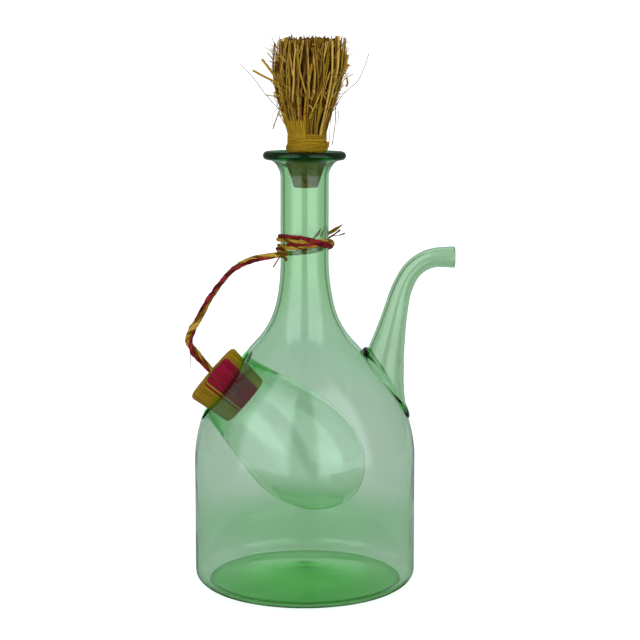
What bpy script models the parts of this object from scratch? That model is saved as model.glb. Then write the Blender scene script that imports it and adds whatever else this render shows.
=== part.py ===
"""Green blown-glass decanter with a side ice pocket, a pouring spout, a cork-and-straw stopper
and a raffia-wrapped ice plug tied to the neck by a two-ply raffia cord.

Frame: metres, +Z up. The origin is on the bottle's axis in the plane it stands on. The spout
points to +X and the ice pocket's mouth to -X.
"""

import math

import bmesh
import bpy
import numpy as np
from mathutils import Matrix, Vector

# ---- Driving dimensions, in metres ------------------------------------------------------------
BODY_RADIUS = 0.070
NECK_RADIUS = 0.0151
FOOT_RADIUS = 0.059          # flat foot the bottle stands on
CORNER_HEIGHT = 0.0105       # rounded corner between the foot and the wall
WALL_TOP = 0.080             # where the straight wall turns into the shoulder
LIP_TOP = 0.2744
LIP_THICKNESS = 0.0052
LIP_RADIUS = 0.02595
WALL = 0.0022
FLOOR = 0.0042
FIT_GAP = 0.0003             # clearance between pieces that touch

SHOULDER_BEND = 0.085        # radius of the shoulder's outward curve
SHOULDER_SLOPE = math.radians(42.5)
THROAT_BEND = 0.052          # radius of the curve that leads up into the neck
NECK_BEND = 0.130            # the gentler curve that ends it
NECK_BEND_ANGLE = math.radians(12.0)

FLARE_START = 0.2587         # height at which the neck starts to open into the lip
BORE_RADIUS = 0.0124

# Ice pocket and its plug: distances s run along the pocket's axis, inwards from the mouth.
POCKET_MOUTH = Vector((-0.0495, 0.0, 0.1272))
POCKET_TILT = math.radians(41.0)
POCKET_IN = Vector((math.cos(POCKET_TILT), 0.0, -math.sin(POCKET_TILT)))
POCKET_MOUTH_RADIUS = 0.0233
POCKET_BORE_RADIUS = 0.0203
POCKET_RADIUS = 0.0348
POCKET_WIDEST = 0.062        # s of the widest section
POCKET_LENGTH = 0.1077
POCKET_MOUTH_SLOPE = 0.12    # how fast the radius grows at the mouth
POCKET_WALL = 0.0014
POCKET_OVERRUN = 0.014       # length outside the mouth that the shoulder surface trims off

PLUG_OUTER = -0.0127         # s of the plug's outer face
PLUG_INNER = 0.0150
PLUG_OUTER_RADIUS = 0.0205
PLUG_INNER_RADIUS = 0.0172
PLUG_HOLE_RADIUS = 0.0032
PLUG_ROUNDING = 0.0024
RAFFIA_THICKNESS = 0.0010
RED_SECTOR = (-48.0, 8.5)            # degrees round the plug, 0 facing -Y
NATURAL_STRAND_SECTOR = (9.5, 11.7)
RED_STRAND_SECTOR = (12.7, 15.5)
NATURAL_SECTOR = (16.5, 311.0)

SPOUT_TIP = Vector((0.0944, 0.0, 0.2088))
SPOUT_RADIUS = 0.0060
SPOUT_TIP_RADIUS = 0.0068
SPOUT_WALL = 0.0019
SPOUT_FLARE = 0.0160         # how much the radius grows over the flare length
SPOUT_FLARE_START = 0.025
SPOUT_FLARE_LENGTH = 0.100
SPOUT_LENGTH = 0.126
WELD_RADIUS = 0.0021

CORK_BOTTOM = 0.2525
CORK_TOP = 0.2742
CORK_BOTTOM_RADIUS = 0.0098
CORK_TAPER = 0.25            # radius gained per unit of height
STEM_RADIUS = 0.0030

BINDING_BOTTOM = 0.2750
BINDING_HEIGHT = 0.0104
BINDING_TURNS = 5
BUNDLE_FOOT_RADIUS = 0.0103  # bundle inside the binding
STRAW_RADIUS = 0.00055
BUNDLE_HEAD_RADIUS = 0.0212
BUNDLE_FLARE_HEIGHT = 0.040  # height over which the bundle spreads
BRUSH_TOP = 0.3445
OUTER_STRAWS = 14
FLUTE_DEPTH = 0.0007          # ridges between the outer straws

CORD_STRAND_RADIUS = 0.00088
CORD_TWIST_PITCH = 0.021
WRAP_BOTTOM = 0.2115
WRAP_PITCH = 0.0044
WRAP_TURNS = 2.45
CORD_HINGE = Vector((-0.0185, -0.0115, 0.2138))   # pivot of the cord at the neck

ROUND_STEPS = 40
FINE_STEP = 0.0026           # spacing of points along a cord


# ---- Scene and materials ----------------------------------------------------------------------
def clear_scene():
    for obj in list(bpy.data.objects):
        bpy.data.objects.remove(obj, do_unlink=True)


def make_material(name, colour, roughness, transmission=0.0):
    material = bpy.data.materials.new(name)
    material.use_nodes = True
    shader = material.node_tree.nodes["Principled BSDF"]
    shader.inputs["Base Color"].default_value = (*colour, 1.0)
    shader.inputs["Roughness"].default_value = roughness
    shader.inputs["Metallic"].default_value = 0.0
    shader.inputs["Transmission Weight"].default_value = transmission
    return material


clear_scene()
GREEN_GLASS = make_material("green_glass", (0.35, 0.66, 0.38), 0.03, 0.9)
CORK = make_material("cork", (0.42, 0.27, 0.12), 0.85)
STRAW = make_material("straw", (0.48, 0.33, 0.10), 0.75)
RAFFIA = make_material("natural_raffia", (0.47, 0.34, 0.06), 0.6)
RED_RAFFIA = make_material("red_raffia", (0.40, 0.02, 0.06), 0.6)


# ---- Building tools ---------------------------------------------------------------------------
def object_from(name, mesh_builder, material, smooth_angle=35.0):
    """Turns a bmesh into a named, smooth-shaded object."""
    mesh = bpy.data.meshes.new(name)
    bmesh.ops.recalc_face_normals(mesh_builder, faces=mesh_builder.faces)
    mesh_builder.to_mesh(mesh)
    mesh_builder.free()
    mesh.shade_smooth()
    mesh.set_sharp_from_angle(angle=math.radians(smooth_angle))
    mesh.materials.append(material)
    obj = bpy.data.objects.new(name, mesh)
    bpy.context.scene.collection.objects.link(obj)
    return obj


def lathe(name, outline, material, steps=ROUND_STEPS, sweep=2 * math.pi, closed_outline=False):
    """Spins an outline of (radius, height) points about Z. A full turn needs an outline that is closed,
    or that starts and ends on the axis; a part turn needs a closed one, and gets two end caps."""
    builder = bmesh.new()
    verts = [builder.verts.new((radius, 0.0, height)) for radius, height in outline]
    edges = [builder.edges.new(pair) for pair in zip(verts, verts[1:])]
    if closed_outline:
        edges.append(builder.edges.new((verts[-1], verts[0])))
    bmesh.ops.spin(
        builder, geom=verts + edges, cent=(0, 0, 0), axis=(0, 0, 1), angle=sweep, steps=steps, use_duplicate=False
    )
    bmesh.ops.remove_doubles(builder, verts=builder.verts, dist=1e-6)
    return object_from(name, builder, material)


def tube(name, points, radii, material, sides=0):
    """A round bar along a polyline, capped at both ends. radii is one number or one for each point."""
    curve = bpy.data.curves.new(name, "CURVE")
    curve.dimensions = "3D"
    curve.bevel_depth = 1.0
    curve.bevel_resolution = sides
    curve.use_fill_caps = True
    spline = curve.splines.new("POLY")
    spline.points.add(len(points) - 1)
    radii = np.broadcast_to(radii, len(points))
    for spline_point, place, radius in zip(spline.points, points, radii):
        spline_point.co = (*place, 1.0)
        spline_point.radius = float(radius)
    curve.materials.append(material)
    obj = bpy.data.objects.new(name, curve)
    bpy.context.scene.collection.objects.link(obj)
    return obj


def as_mesh(obj):
    """The same object with its curve or modifiers turned into a mesh, welded where caps meet sides."""
    graph = bpy.context.evaluated_depsgraph_get()
    graph.update()
    mesh = bpy.data.meshes.new_from_object(obj.evaluated_get(graph), depsgraph=graph)
    builder = bmesh.new()
    builder.from_mesh(mesh)
    bmesh.ops.remove_doubles(builder, verts=builder.verts, dist=2e-6)
    name, material, place = obj.name, mesh.materials[0], obj.matrix_world.copy()
    bpy.data.objects.remove(obj, do_unlink=True)
    bpy.data.meshes.remove(mesh)
    made = object_from(name, builder, material)
    made.matrix_world = place
    return made


def boolean(obj, tool, operation):
    modifier = obj.modifiers.new(f"{operation.lower()}_{tool.name}", "BOOLEAN")
    modifier.operation = operation
    modifier.object = tool
    modifier.solver = "EXACT"
    tool.hide_render = True
    tool.display_type = "WIRE"


def empty_at(name, place, rotation=None):
    """An empty that carries the pieces of one moving body, on its joint's axis."""
    empty = bpy.data.objects.new(name, None)
    empty.matrix_world = Matrix.Translation(place) @ (rotation or Matrix.Identity(4))
    bpy.context.scene.collection.objects.link(empty)
    return empty


def resample(points, spacing):
    """Points at even spacing along a polyline."""
    points = np.array(points, float)
    along = np.concatenate([[0.0], np.cumsum(np.linalg.norm(np.diff(points, axis=0), axis=1))])
    wanted = np.linspace(0.0, along[-1], max(2, round(along[-1] / spacing) + 1))
    return np.stack([np.interp(wanted, along, points[:, axis]) for axis in range(3)], axis=1)


def smooth_path(knots, spacing):
    """A Catmull-Rom curve through the knots, resampled at even spacing."""
    knots = np.array(knots, float)
    padded = np.vstack([2 * knots[0] - knots[1], knots, 2 * knots[-1] - knots[-2]])
    fine = []
    for before, start, end, after in zip(padded, padded[1:], padded[2:], padded[3:]):
        for t in np.linspace(0.0, 1.0, 12, endpoint=False):
            fine.append(
                0.5
                * (
                    2 * start
                    + (end - before) * t
                    + (2 * before - 5 * start + 4 * end - after) * t**2
                    + (3 * start - before - 3 * end + after) * t**3
                )
            )
    fine.append(knots[-1])
    return resample(fine, spacing)


def ply(path, phase, offset, pitch):
    """One strand of a twisted cord: it winds round the path at a distance of offset."""
    path = np.array(path, float)
    tangents = np.gradient(path, axis=0)
    tangents /= np.linalg.norm(tangents, axis=1)[:, None]
    along = np.concatenate([[0.0], np.cumsum(np.linalg.norm(np.diff(path, axis=0), axis=1))])
    side = np.cross(tangents[0], (0.0, 1.0, 0.0) if abs(tangents[0][1]) < 0.9 else (1.0, 0.0, 0.0))
    strand = []
    for point, tangent, distance in zip(path, tangents, along):
        side = side - tangent * np.dot(side, tangent)
        side /= np.linalg.norm(side)
        turn = phase + 2 * math.pi * distance / pitch
        strand.append(point + offset * (math.cos(turn) * side + math.sin(turn) * np.cross(tangent, side)))
    return np.array(strand)


# ---- Bottle -----------------------------------------------------------------------------------
def arc(centre, radii, start, end, steps):
    """Points on an ellipse in the (radius, height) plane, angles in radians from the +radius axis."""
    return [
        (centre[0] + radii[0] * math.cos(angle), centre[1] + radii[1] * math.sin(angle))
        for angle in np.linspace(start, end, steps + 1)
    ]


def shoulder_outline(inset):
    """The wall from the body to the neck, moved inwards by inset, from bottom to top."""
    points = arc(
        (BODY_RADIUS - SHOULDER_BEND, WALL_TOP),
        (SHOULDER_BEND - inset, SHOULDER_BEND - inset),
        0.0,
        SHOULDER_SLOPE,
        6,
    )
    shoulder_top = BODY_RADIUS - SHOULDER_BEND * (1 - math.cos(SHOULDER_SLOPE))
    throat_width = THROAT_BEND * (math.cos(NECK_BEND_ANGLE) - math.cos(SHOULDER_SLOPE))
    neck_width = NECK_BEND * (1 - math.cos(NECK_BEND_ANGLE))
    slope_run = shoulder_top - throat_width - neck_width - NECK_RADIUS
    throat_foot = (shoulder_top - slope_run, points_height(slope_run))
    throat_centre = (
        throat_foot[0] + THROAT_BEND * math.cos(SHOULDER_SLOPE),
        throat_foot[1] + THROAT_BEND * math.sin(SHOULDER_SLOPE),
    )
    throat_radius = THROAT_BEND + inset
    points += arc(
        throat_centre, (throat_radius, throat_radius), math.pi + SHOULDER_SLOPE, math.pi + NECK_BEND_ANGLE, 6
    )
    neck_centre = (
        NECK_RADIUS + NECK_BEND,
        throat_centre[1] + (NECK_BEND - THROAT_BEND) * math.sin(NECK_BEND_ANGLE),
    )
    neck_radius = NECK_BEND + inset
    points += arc(neck_centre, (neck_radius, neck_radius), math.pi + NECK_BEND_ANGLE, math.pi, 4)[1:]
    return points


def points_height(slope_run):
    """Height of the top of the shoulder's straight slope."""
    return WALL_TOP + SHOULDER_BEND * math.sin(SHOULDER_SLOPE) + slope_run / math.tan(SHOULDER_SLOPE)


def outer_outline():
    """Outside of the bottle from the centre of the foot up to the start of the lip's flare."""
    corner_width = BODY_RADIUS - FOOT_RADIUS
    foot = [(0.0, 0.0)]
    foot += arc((FOOT_RADIUS, CORNER_HEIGHT), (corner_width, CORNER_HEIGHT), -math.pi / 2, 0.0, 6)
    return foot + shoulder_outline(0.0)


def lip_outline():
    """Flare, rounded rim and inner funnel of the lip, from the neck's outside to its bore."""
    rim = LIP_THICKNESS / 2
    flare_centre = (LIP_RADIUS - rim, FLARE_START)
    under = (LIP_RADIUS - rim - NECK_RADIUS, LIP_TOP - LIP_THICKNESS - FLARE_START)
    points = arc(flare_centre, under, math.pi, math.pi / 2, 6)
    points += arc((LIP_RADIUS - rim, LIP_TOP - rim), (rim, rim), -math.pi / 2, math.pi / 2, 6)[1:]
    funnel = (flare_centre[0] - BORE_RADIUS, LIP_TOP - FLARE_START)
    return points + arc(flare_centre, funnel, math.pi / 2, math.pi, 6)[1:]


def inner_outline():
    """Inside of the bottle, from the bore down to the centre of the floor."""
    inside = shoulder_outline(WALL)
    inside.reverse()
    corner_width = BODY_RADIUS - FOOT_RADIUS - WALL
    corner_height = CORNER_HEIGHT - FLOOR
    inside += arc((FOOT_RADIUS, CORNER_HEIGHT), (corner_width, corner_height), 0.0, -math.pi / 2, 5)
    inside.append((0.0, FLOOR))
    return inside


def outer_radius(height):
    """Radius of the bottle's outside at a height on the shoulder."""
    outline = np.array(shoulder_outline(0.0))
    return float(np.interp(height, outline[:, 1], outline[:, 0]))


def bottle_envelope(name, swell):
    """Solid with the bottle's outside, grown by swell, that trims the pieces welded onto it."""
    outline = outer_outline() + [(NECK_RADIUS, LIP_TOP), (0.0, LIP_TOP)]
    grown = [(radius + swell if radius else 0.0, height) for radius, height in outline]
    return lathe(name, grown, GREEN_GLASS)


def make_bottle_body(pocket_hole, spout_hole):
    body = lathe("bottle_body", outer_outline() + lip_outline() + inner_outline(), GREEN_GLASS)
    boolean(body, pocket_hole, "DIFFERENCE")
    boolean(body, spout_hole, "DIFFERENCE")
    return body


# ---- Ice pocket -------------------------------------------------------------------------------
def pocket_radius(s):
    """Outside radius of the pear-shaped pocket at the distance s from its mouth."""
    if s >= POCKET_WIDEST:
        share = (s - POCKET_WIDEST) / (POCKET_LENGTH - POCKET_WIDEST)
        return POCKET_RADIUS * math.sqrt(max(0.0, 1.0 - share**2))
    t = max(0.0, s / POCKET_WIDEST)
    swell = (POCKET_RADIUS - POCKET_MOUTH_RADIUS) * (3 * t**2 - 2 * t**3)
    return POCKET_MOUTH_RADIUS + swell + POCKET_MOUTH_SLOPE * POCKET_WIDEST * (t**3 - 2 * t**2 + t)


def pocket_outline(swell=0.0):
    """Outside of the pocket from beyond the mouth to the closed end, grown by swell."""
    front = [(pocket_radius(s) + swell, s) for s in np.linspace(0.0, POCKET_WIDEST, 9)]
    end_length = POCKET_LENGTH - POCKET_WIDEST + swell
    end = arc((0.0, POCKET_WIDEST), (POCKET_RADIUS + swell, end_length), 0.0, math.pi / 2, 10)
    return [(POCKET_MOUTH_RADIUS + swell, -POCKET_OVERRUN)] + front + end[1:-1] + [(0.0, POCKET_LENGTH + swell)]


def pocket_inside():
    """Inside of the pocket, from the closed end back out to the mouth. The mouth is a thick ring."""
    ring_depth = 0.010
    blend_depth = 0.024
    radius, depth = POCKET_RADIUS - POCKET_WALL, POCKET_LENGTH - POCKET_WIDEST - POCKET_WALL
    end = arc((0.0, POCKET_WIDEST), (radius, depth), math.pi / 2, 0.0, 10)
    front = []
    for s in np.linspace(POCKET_WIDEST, ring_depth, 8)[1:]:
        ring_share = min(1.0, max(0.0, (blend_depth - s) / (blend_depth - ring_depth)))
        thin = pocket_radius(s) - POCKET_WALL
        front.append((thin + (POCKET_BORE_RADIUS - thin) * ring_share**2, s))
    return [(0.0, POCKET_WIDEST + depth)] + end[1:] + front + [(POCKET_BORE_RADIUS, -POCKET_OVERRUN)]


def pocket_rotation():
    """Turns +Z onto the pocket's inward axis, and -Y onto itself."""
    return Matrix.Rotation(math.pi / 2 + POCKET_TILT, 4, "Y")


def place_on_pocket_axis(obj):
    obj.matrix_world = Matrix.Translation(POCKET_MOUTH) @ pocket_rotation()
    return obj


def make_ice_pocket(envelope):
    shell = pocket_outline()[::-1] + pocket_inside()[::-1]
    pocket = place_on_pocket_axis(lathe("ice_pocket", shell, GREEN_GLASS, 32))
    boolean(pocket, envelope, "INTERSECT")
    return pocket


# ---- Spout ------------------------------------------------------------------------------------
def spout_centreline():
    """Centreline of the spout from its tip down into the shoulder, in the XZ plane."""
    legs = (("straight", 0.009), ("bend", 0.024, 62.0), ("bend", 0.060, 15.0), ("straight", 0.034))
    x, z, heading = SPOUT_TIP.x, SPOUT_TIP.z, 0.0
    points = [(x, 0.0, z)]
    step = 0.0015
    for leg in legs:
        length = leg[1] if leg[0] == "straight" else leg[1] * math.radians(leg[2])
        turn = 0.0 if leg[0] == "straight" else 1.0 / leg[1]
        count = round(length / step)
        for _ in range(count):
            heading += turn * length / count
            x -= math.cos(heading) * length / count
            z -= math.sin(heading) * length / count
            points.append((x, 0.0, z))
    root_bend = 0.150
    travelled = step * (len(points) - 1)
    while travelled < SPOUT_LENGTH:
        heading = min(math.pi / 2, heading + step / root_bend)
        x -= math.cos(heading) * step
        z -= math.sin(heading) * step
        travelled += step
        points.append((x, 0.0, z))
    return np.array(points)


def spout_radius(distance):
    """Outside radius of the spout at a distance from its tip."""
    tip_flare = (SPOUT_TIP_RADIUS - SPOUT_RADIUS) * max(0.0, 1.0 - distance / 0.018)
    share = max(0.0, (distance - SPOUT_FLARE_START) / SPOUT_FLARE_LENGTH)
    straight_from = 0.66
    if share < straight_from:
        growth = share**2
    else:
        growth = straight_from**2 + 0.85 * (share - straight_from)
    return SPOUT_RADIUS + tip_flare + SPOUT_FLARE * growth


def spout_bar(name, inset, spacing, sides, extra_ends=0.0):
    """Solid bar along the spout, its radius reduced by inset and its ends run on by extra_ends."""
    path = resample(spout_centreline(), spacing)
    along = np.linspace(0.0, SPOUT_LENGTH, len(path))
    radii = np.array([spout_radius(distance) - inset for distance in along])
    if extra_ends:
        first = path[0] + (path[0] - path[1]) / np.linalg.norm(path[0] - path[1]) * extra_ends
        last = path[-1] + (path[-1] - path[-2]) / np.linalg.norm(path[-1] - path[-2]) * extra_ends
        path = np.vstack([first, path, last])
        radii = np.concatenate([[radii[0]], radii, [radii[-1]]])
    return as_mesh(tube(name, path, radii, GREEN_GLASS, sides))


def weld_ring_path():
    """The closed curve where the outside of the spout meets the bottle's shoulder."""
    path = resample(spout_centreline(), 0.0008)
    along = np.linspace(0.0, SPOUT_LENGTH, len(path))
    tangents = np.gradient(path, axis=0)
    tangents /= np.linalg.norm(tangents, axis=1)[:, None]
    ring = []
    for angle in np.linspace(0.0, 2 * math.pi, 28, endpoint=False):
        for point, tangent, distance in zip(path, tangents, along):
            normal = np.array((tangent[2], 0.0, -tangent[0]))
            reach = math.cos(angle) * normal + math.sin(angle) * np.array((0.0, 1.0, 0.0))
            on_wall = point + spout_radius(distance) * reach
            if math.hypot(on_wall[0], on_wall[1]) < outer_radius(on_wall[2]):
                ring.append(on_wall)
                break
    return np.array(ring)


def make_pour_spout(envelope):
    spout = spout_bar("pour_spout", 0.0, 0.0040, 11)
    weld = tube("weld_ring", weld_ring_path(), WELD_RADIUS, GREEN_GLASS, 0)
    weld.data.splines[0].use_cyclic_u = True
    boolean(spout, as_mesh(weld), "UNION")
    boolean(spout, spout_bar("spout_bore", SPOUT_WALL, 0.0040, 9, 0.002), "DIFFERENCE")
    boolean(spout, envelope, "DIFFERENCE")
    return spout


# ---- Top stopper ------------------------------------------------------------------------------
def cork_radius(height):
    return CORK_BOTTOM_RADIUS + CORK_TAPER * (height - CORK_BOTTOM)


def make_cork_stopper():
    chamfer = 0.0008
    hole = STEM_RADIUS + FIT_GAP
    top = cork_radius(CORK_TOP)
    outline = [
        (hole, CORK_BOTTOM),
        (CORK_BOTTOM_RADIUS - chamfer, CORK_BOTTOM),
        (CORK_BOTTOM_RADIUS, CORK_BOTTOM + chamfer),
        (top, CORK_TOP - chamfer),
        (top - chamfer, CORK_TOP),
        (hole, CORK_TOP),
    ]
    return lathe("cork_stopper", outline, CORK, 24, closed_outline=True)


def bundle_radius(height):
    """Radius of the straw bundle above the binding."""
    share = min(1.0, max(0.0, (height - BINDING_BOTTOM - BINDING_HEIGHT) / BUNDLE_FLARE_HEIGHT))
    return BUNDLE_FOOT_RADIUS + (BUNDLE_HEAD_RADIUS - BUNDLE_FOOT_RADIUS) * math.sin(share * math.pi / 2)


def bundle_heights():
    """Heights that the bundle's and the outer straws' curves share, from the binding to near the top."""
    return np.linspace(BINDING_BOTTOM + BINDING_HEIGHT + FIT_GAP, BRUSH_TOP - 0.0035, 8)


def make_straw_bundle():
    """The bound straws as one fluted, flaring solid, with its stem reaching down through the cork."""
    outline = [(0.0, CORK_BOTTOM + 0.0010), (STEM_RADIUS, CORK_BOTTOM + 0.0010)]
    outline += [(STEM_RADIUS, CORK_TOP + FIT_GAP), (BUNDLE_FOOT_RADIUS, CORK_TOP + FIT_GAP)]
    outline += [(bundle_radius(height), height) for height in bundle_heights()]
    outline += [(BUNDLE_HEAD_RADIUS * 0.6, BRUSH_TOP), (0.0, BRUSH_TOP - 0.001)]
    bundle = lathe("straw_bundle", outline, STRAW, 2 * OUTER_STRAWS)
    for vertex in bundle.data.vertices:
        angle = math.atan2(vertex.co.y, vertex.co.x)
        if vertex.co.z > BINDING_BOTTOM + BINDING_HEIGHT and math.cos(OUTER_STRAWS * angle) < 0:
            vertex.co.x += FLUTE_DEPTH * math.cos(angle)
            vertex.co.y += FLUTE_DEPTH * math.sin(angle)
    return bundle


def outer_straw_path(index):
    """One straw of the outer layer: straight up inside the binding, then along the bundle's flare."""
    angle = 2 * math.pi * index / OUTER_STRAWS
    rise = [CORK_TOP + 2 * FIT_GAP, *bundle_heights(), BRUSH_TOP + 0.0015 - 0.0012 * (index % 3)]
    gap = FIT_GAP + STRAW_RADIUS * 1.15
    lean = 0.0016 * ((index * 5) % 4)
    points = []
    for height in rise:
        lift = lean * ((height - rise[0]) / (rise[-1] - rise[0])) ** 2
        reach = bundle_radius(height) + gap + lift
        points.append((reach * math.cos(angle), reach * math.sin(angle), height))
    return points


def make_outer_straws():
    straws = []
    for index in range(OUTER_STRAWS):
        name = f"outer_straw_{index + 1:02d}"
        straws.append(tube(name, outer_straw_path(index), STRAW_RADIUS, STRAW, 1))
    return straws


def make_binding():
    """Flat raffia wound five turns round the foot of the bundle."""
    inner = BUNDLE_FOOT_RADIUS + 2 * STRAW_RADIUS + 3 * FIT_GAP
    pitch = BINDING_HEIGHT / BINDING_TURNS
    half_band = pitch / 2 - FIT_GAP / 2
    thickness = 0.0008
    per_turn = 24
    builder = bmesh.new()
    rings = []
    for step in range((BINDING_TURNS - 1) * per_turn + 1):
        angle = 2 * math.pi * step / per_turn
        height = BINDING_BOTTOM + half_band + pitch * step / per_turn
        corners = ((inner, -half_band), (inner + thickness, -half_band), (inner + thickness, half_band), (inner, half_band))
        rings.append(
            [builder.verts.new((r * math.cos(angle), r * math.sin(angle), height + dz)) for r, dz in corners]
        )
    for low, high in zip(rings, rings[1:]):
        for corner in range(4):
            following = (corner + 1) % 4
            builder.faces.new((low[corner], low[following], high[following], high[corner]))
    builder.faces.new(rings[0])
    builder.faces.new(rings[-1])
    return object_from("binding_wrap", builder, RAFFIA)


def make_binding_leaf():
    """The folded end of the binding: a flat blade standing on the front of the bundle."""
    low, high = BINDING_BOTTOM + BINDING_HEIGHT - 0.0006, BINDING_BOTTOM + BINDING_HEIGHT + 0.0135
    builder = bmesh.new()
    rows = []
    for height in np.linspace(low, high, 5):
        inner = bundle_radius(height) + 2 * STRAW_RADIUS + 4 * FIT_GAP
        row = []
        for radius in (inner, inner + 0.0006):
            for angle in np.radians(np.linspace(212.0, 266.0, 6)):
                row.append(builder.verts.new((radius * math.cos(angle), radius * math.sin(angle), height)))
        rows.append(row[:6] + row[:5:-1])
    for lower, upper in zip(rows, rows[1:]):
        for column in range(12):
            following = (column + 1) % 12
            builder.faces.new((lower[column], lower[following], upper[following], upper[column]))
    builder.faces.new(rows[0])
    builder.faces.new(rows[-1])
    return object_from("binding_leaf", builder, RAFFIA)


def make_binding_knot():
    """The small knot that ends the binding, on its +X side."""
    reach = BUNDLE_FOOT_RADIUS + 2 * STRAW_RADIUS + 3 * FIT_GAP + 0.0008 + FIT_GAP + 0.0013
    builder = bmesh.new()
    bmesh.ops.create_icosphere(builder, subdivisions=2, radius=0.0013)
    bmesh.ops.scale(builder, verts=builder.verts, vec=(0.95, 1.5, 1.35))
    knot = object_from("binding_knot", builder, RAFFIA)
    knot.location = (reach, 0.0, BINDING_BOTTOM + 0.55 * BINDING_HEIGHT)
    return knot


# ---- Ice plug ---------------------------------------------------------------------------------
def plug_section(inset, hole):
    """Section of the plug from its hole round to its hole again, moved in by inset, as a closed loop."""
    slope = (PLUG_INNER_RADIUS - PLUG_OUTER_RADIUS) / (PLUG_INNER - PLUG_OUTER)
    outer_s, inner_s = PLUG_OUTER + inset, PLUG_INNER - inset
    rounding = max(0.0006, PLUG_ROUNDING - inset)
    outer_r = PLUG_OUTER_RADIUS + slope * inset - inset
    inner_r = PLUG_INNER_RADIUS - slope * inset - inset
    loop = [(hole, outer_s)]
    loop += arc((outer_r - rounding, outer_s + rounding), (rounding, rounding), -math.pi / 2, 0.0, 3)
    loop += arc((inner_r - rounding, inner_s - rounding), (rounding, rounding), 0.0, math.pi / 2, 3)
    return loop + [(hole, inner_s)]


def make_plug_core():
    inset = RAFFIA_THICKNESS + FIT_GAP
    hole = PLUG_HOLE_RADIUS + RAFFIA_THICKNESS + FIT_GAP
    core = lathe("plug_core", plug_section(inset, hole), CORK, 24, closed_outline=True)
    return place_on_pocket_axis(core)


def make_plug_wrap(name, sector, material):
    """Raffia wound round the plug's section over one sector: over the faces and through the hole."""
    start, end = (math.radians(angle) for angle in sector)
    steps = max(1, round((end - start) / math.radians(13)))
    outer = plug_section(0.0, PLUG_HOLE_RADIUS)
    inner = plug_section(RAFFIA_THICKNESS, PLUG_HOLE_RADIUS + RAFFIA_THICKNESS)
    builder = bmesh.new()
    slices = []
    for turn in np.linspace(start, end, steps + 1):
        angle = turn - math.pi / 2
        slices.append(
            [
                [builder.verts.new((r * math.cos(angle), r * math.sin(angle), s)) for r, s in section]
                for section in (outer, inner)
            ]
        )
    count = len(outer)
    for before, after in zip(slices, slices[1:]):
        for layer in (0, 1):
            for index in range(count):
                following = (index + 1) % count
                builder.faces.new(
                    (before[layer][index], before[layer][following], after[layer][following], after[layer][index])
                )
    for cut in (slices[0], slices[-1]):
        for index in range(count):
            following = (index + 1) % count
            builder.faces.new((cut[0][index], cut[0][following], cut[1][following], cut[1][index]))
    return place_on_pocket_axis(object_from(name, builder, material))


def make_plug_tie():
    """The cord's end that runs through the plug's hole, with a knot on each side."""
    pin = PLUG_HOLE_RADIUS - FIT_GAP - 0.0004
    knot = 0.0042
    outer_knot, inner_knot = PLUG_OUTER - FIT_GAP, PLUG_INNER + FIT_GAP
    thickness = 0.0026
    outline = [(0.0, outer_knot - thickness)]
    outline += arc((knot - thickness / 2, outer_knot - thickness / 2), (thickness / 2,) * 2, -math.pi / 2, math.pi / 2, 4)
    outline += [(pin, outer_knot), (pin, inner_knot)]
    outline += arc((knot - thickness / 2, inner_knot + thickness / 2), (thickness / 2,) * 2, -math.pi / 2, math.pi / 2, 4)
    outline += [(0.0, inner_knot + thickness)]
    return place_on_pocket_axis(lathe("plug_tie", outline, RAFFIA, 12))


# ---- Cord -------------------------------------------------------------------------------------
def cord_path():
    """Centreline of the free cord, from its hinge at the neck to just above the plug's knot."""
    knots = [
        CORD_HINGE + Vector((-0.0012, -0.0004, -0.0004)),
        (-0.0300, -0.0115, 0.2085),
        (-0.0385, -0.0105, 0.2052),
        (-0.0500, -0.0085, 0.1985),
        (-0.0600, -0.0065, 0.1873),
        (-0.0672, -0.0045, 0.1755),
        (-0.0725, -0.0030, 0.1648),
        (-0.0738, -0.0020, 0.1565),
        (-0.0712, -0.0010, 0.1493),
        POCKET_MOUTH + POCKET_IN * (PLUG_OUTER - 0.0054),
    ]
    return smooth_path([tuple(knot) for knot in knots], FINE_STEP)


def make_tether():
    offset = CORD_STRAND_RADIUS + FIT_GAP / 2
    strands = []
    for name, phase, material in (("tether_natural", 0.0, RAFFIA), ("tether_red", math.pi, RED_RAFFIA)):
        strands.append(tube(name, ply(cord_path(), phase, offset, CORD_TWIST_PITCH), CORD_STRAND_RADIUS, material, 1))
    return strands


def wrap_path():
    """Centreline of the cord round the neck: a helix that stands off a little more on its +X side."""
    standoff = NECK_RADIUS + 2 * CORD_STRAND_RADIUS + 0.0008
    points = []
    for turned in np.linspace(0.0, WRAP_TURNS, round(WRAP_TURNS * 38)):
        angle = math.radians(205.0) + 2 * math.pi * turned
        radius = standoff + 0.0011 * (1 + math.cos(angle))
        points.append((radius * math.cos(angle), radius * math.sin(angle), WRAP_BOTTOM + WRAP_PITCH * turned))
    return np.array(points)


def make_neck_wraps():
    offset = CORD_STRAND_RADIUS + FIT_GAP / 2
    strands = []
    for name, phase, material in (("neck_wrap_natural", 0.0, RAFFIA), ("neck_wrap_red", math.pi, RED_RAFFIA)):
        strands.append(tube(name, ply(wrap_path(), phase, offset, CORD_TWIST_PITCH), CORD_STRAND_RADIUS, material, 1))
    return strands


def make_neck_knot():
    """The knot that ties the cord off at the front left of the neck."""
    builder = bmesh.new()
    bmesh.ops.create_icosphere(builder, subdivisions=2, radius=0.0022)
    bmesh.ops.scale(builder, verts=builder.verts, vec=(0.9, 0.75, 0.8))
    knot = object_from("neck_knot", builder, RAFFIA)
    knot.location = (-0.0140, -0.0121, 0.2078)
    return knot


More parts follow.
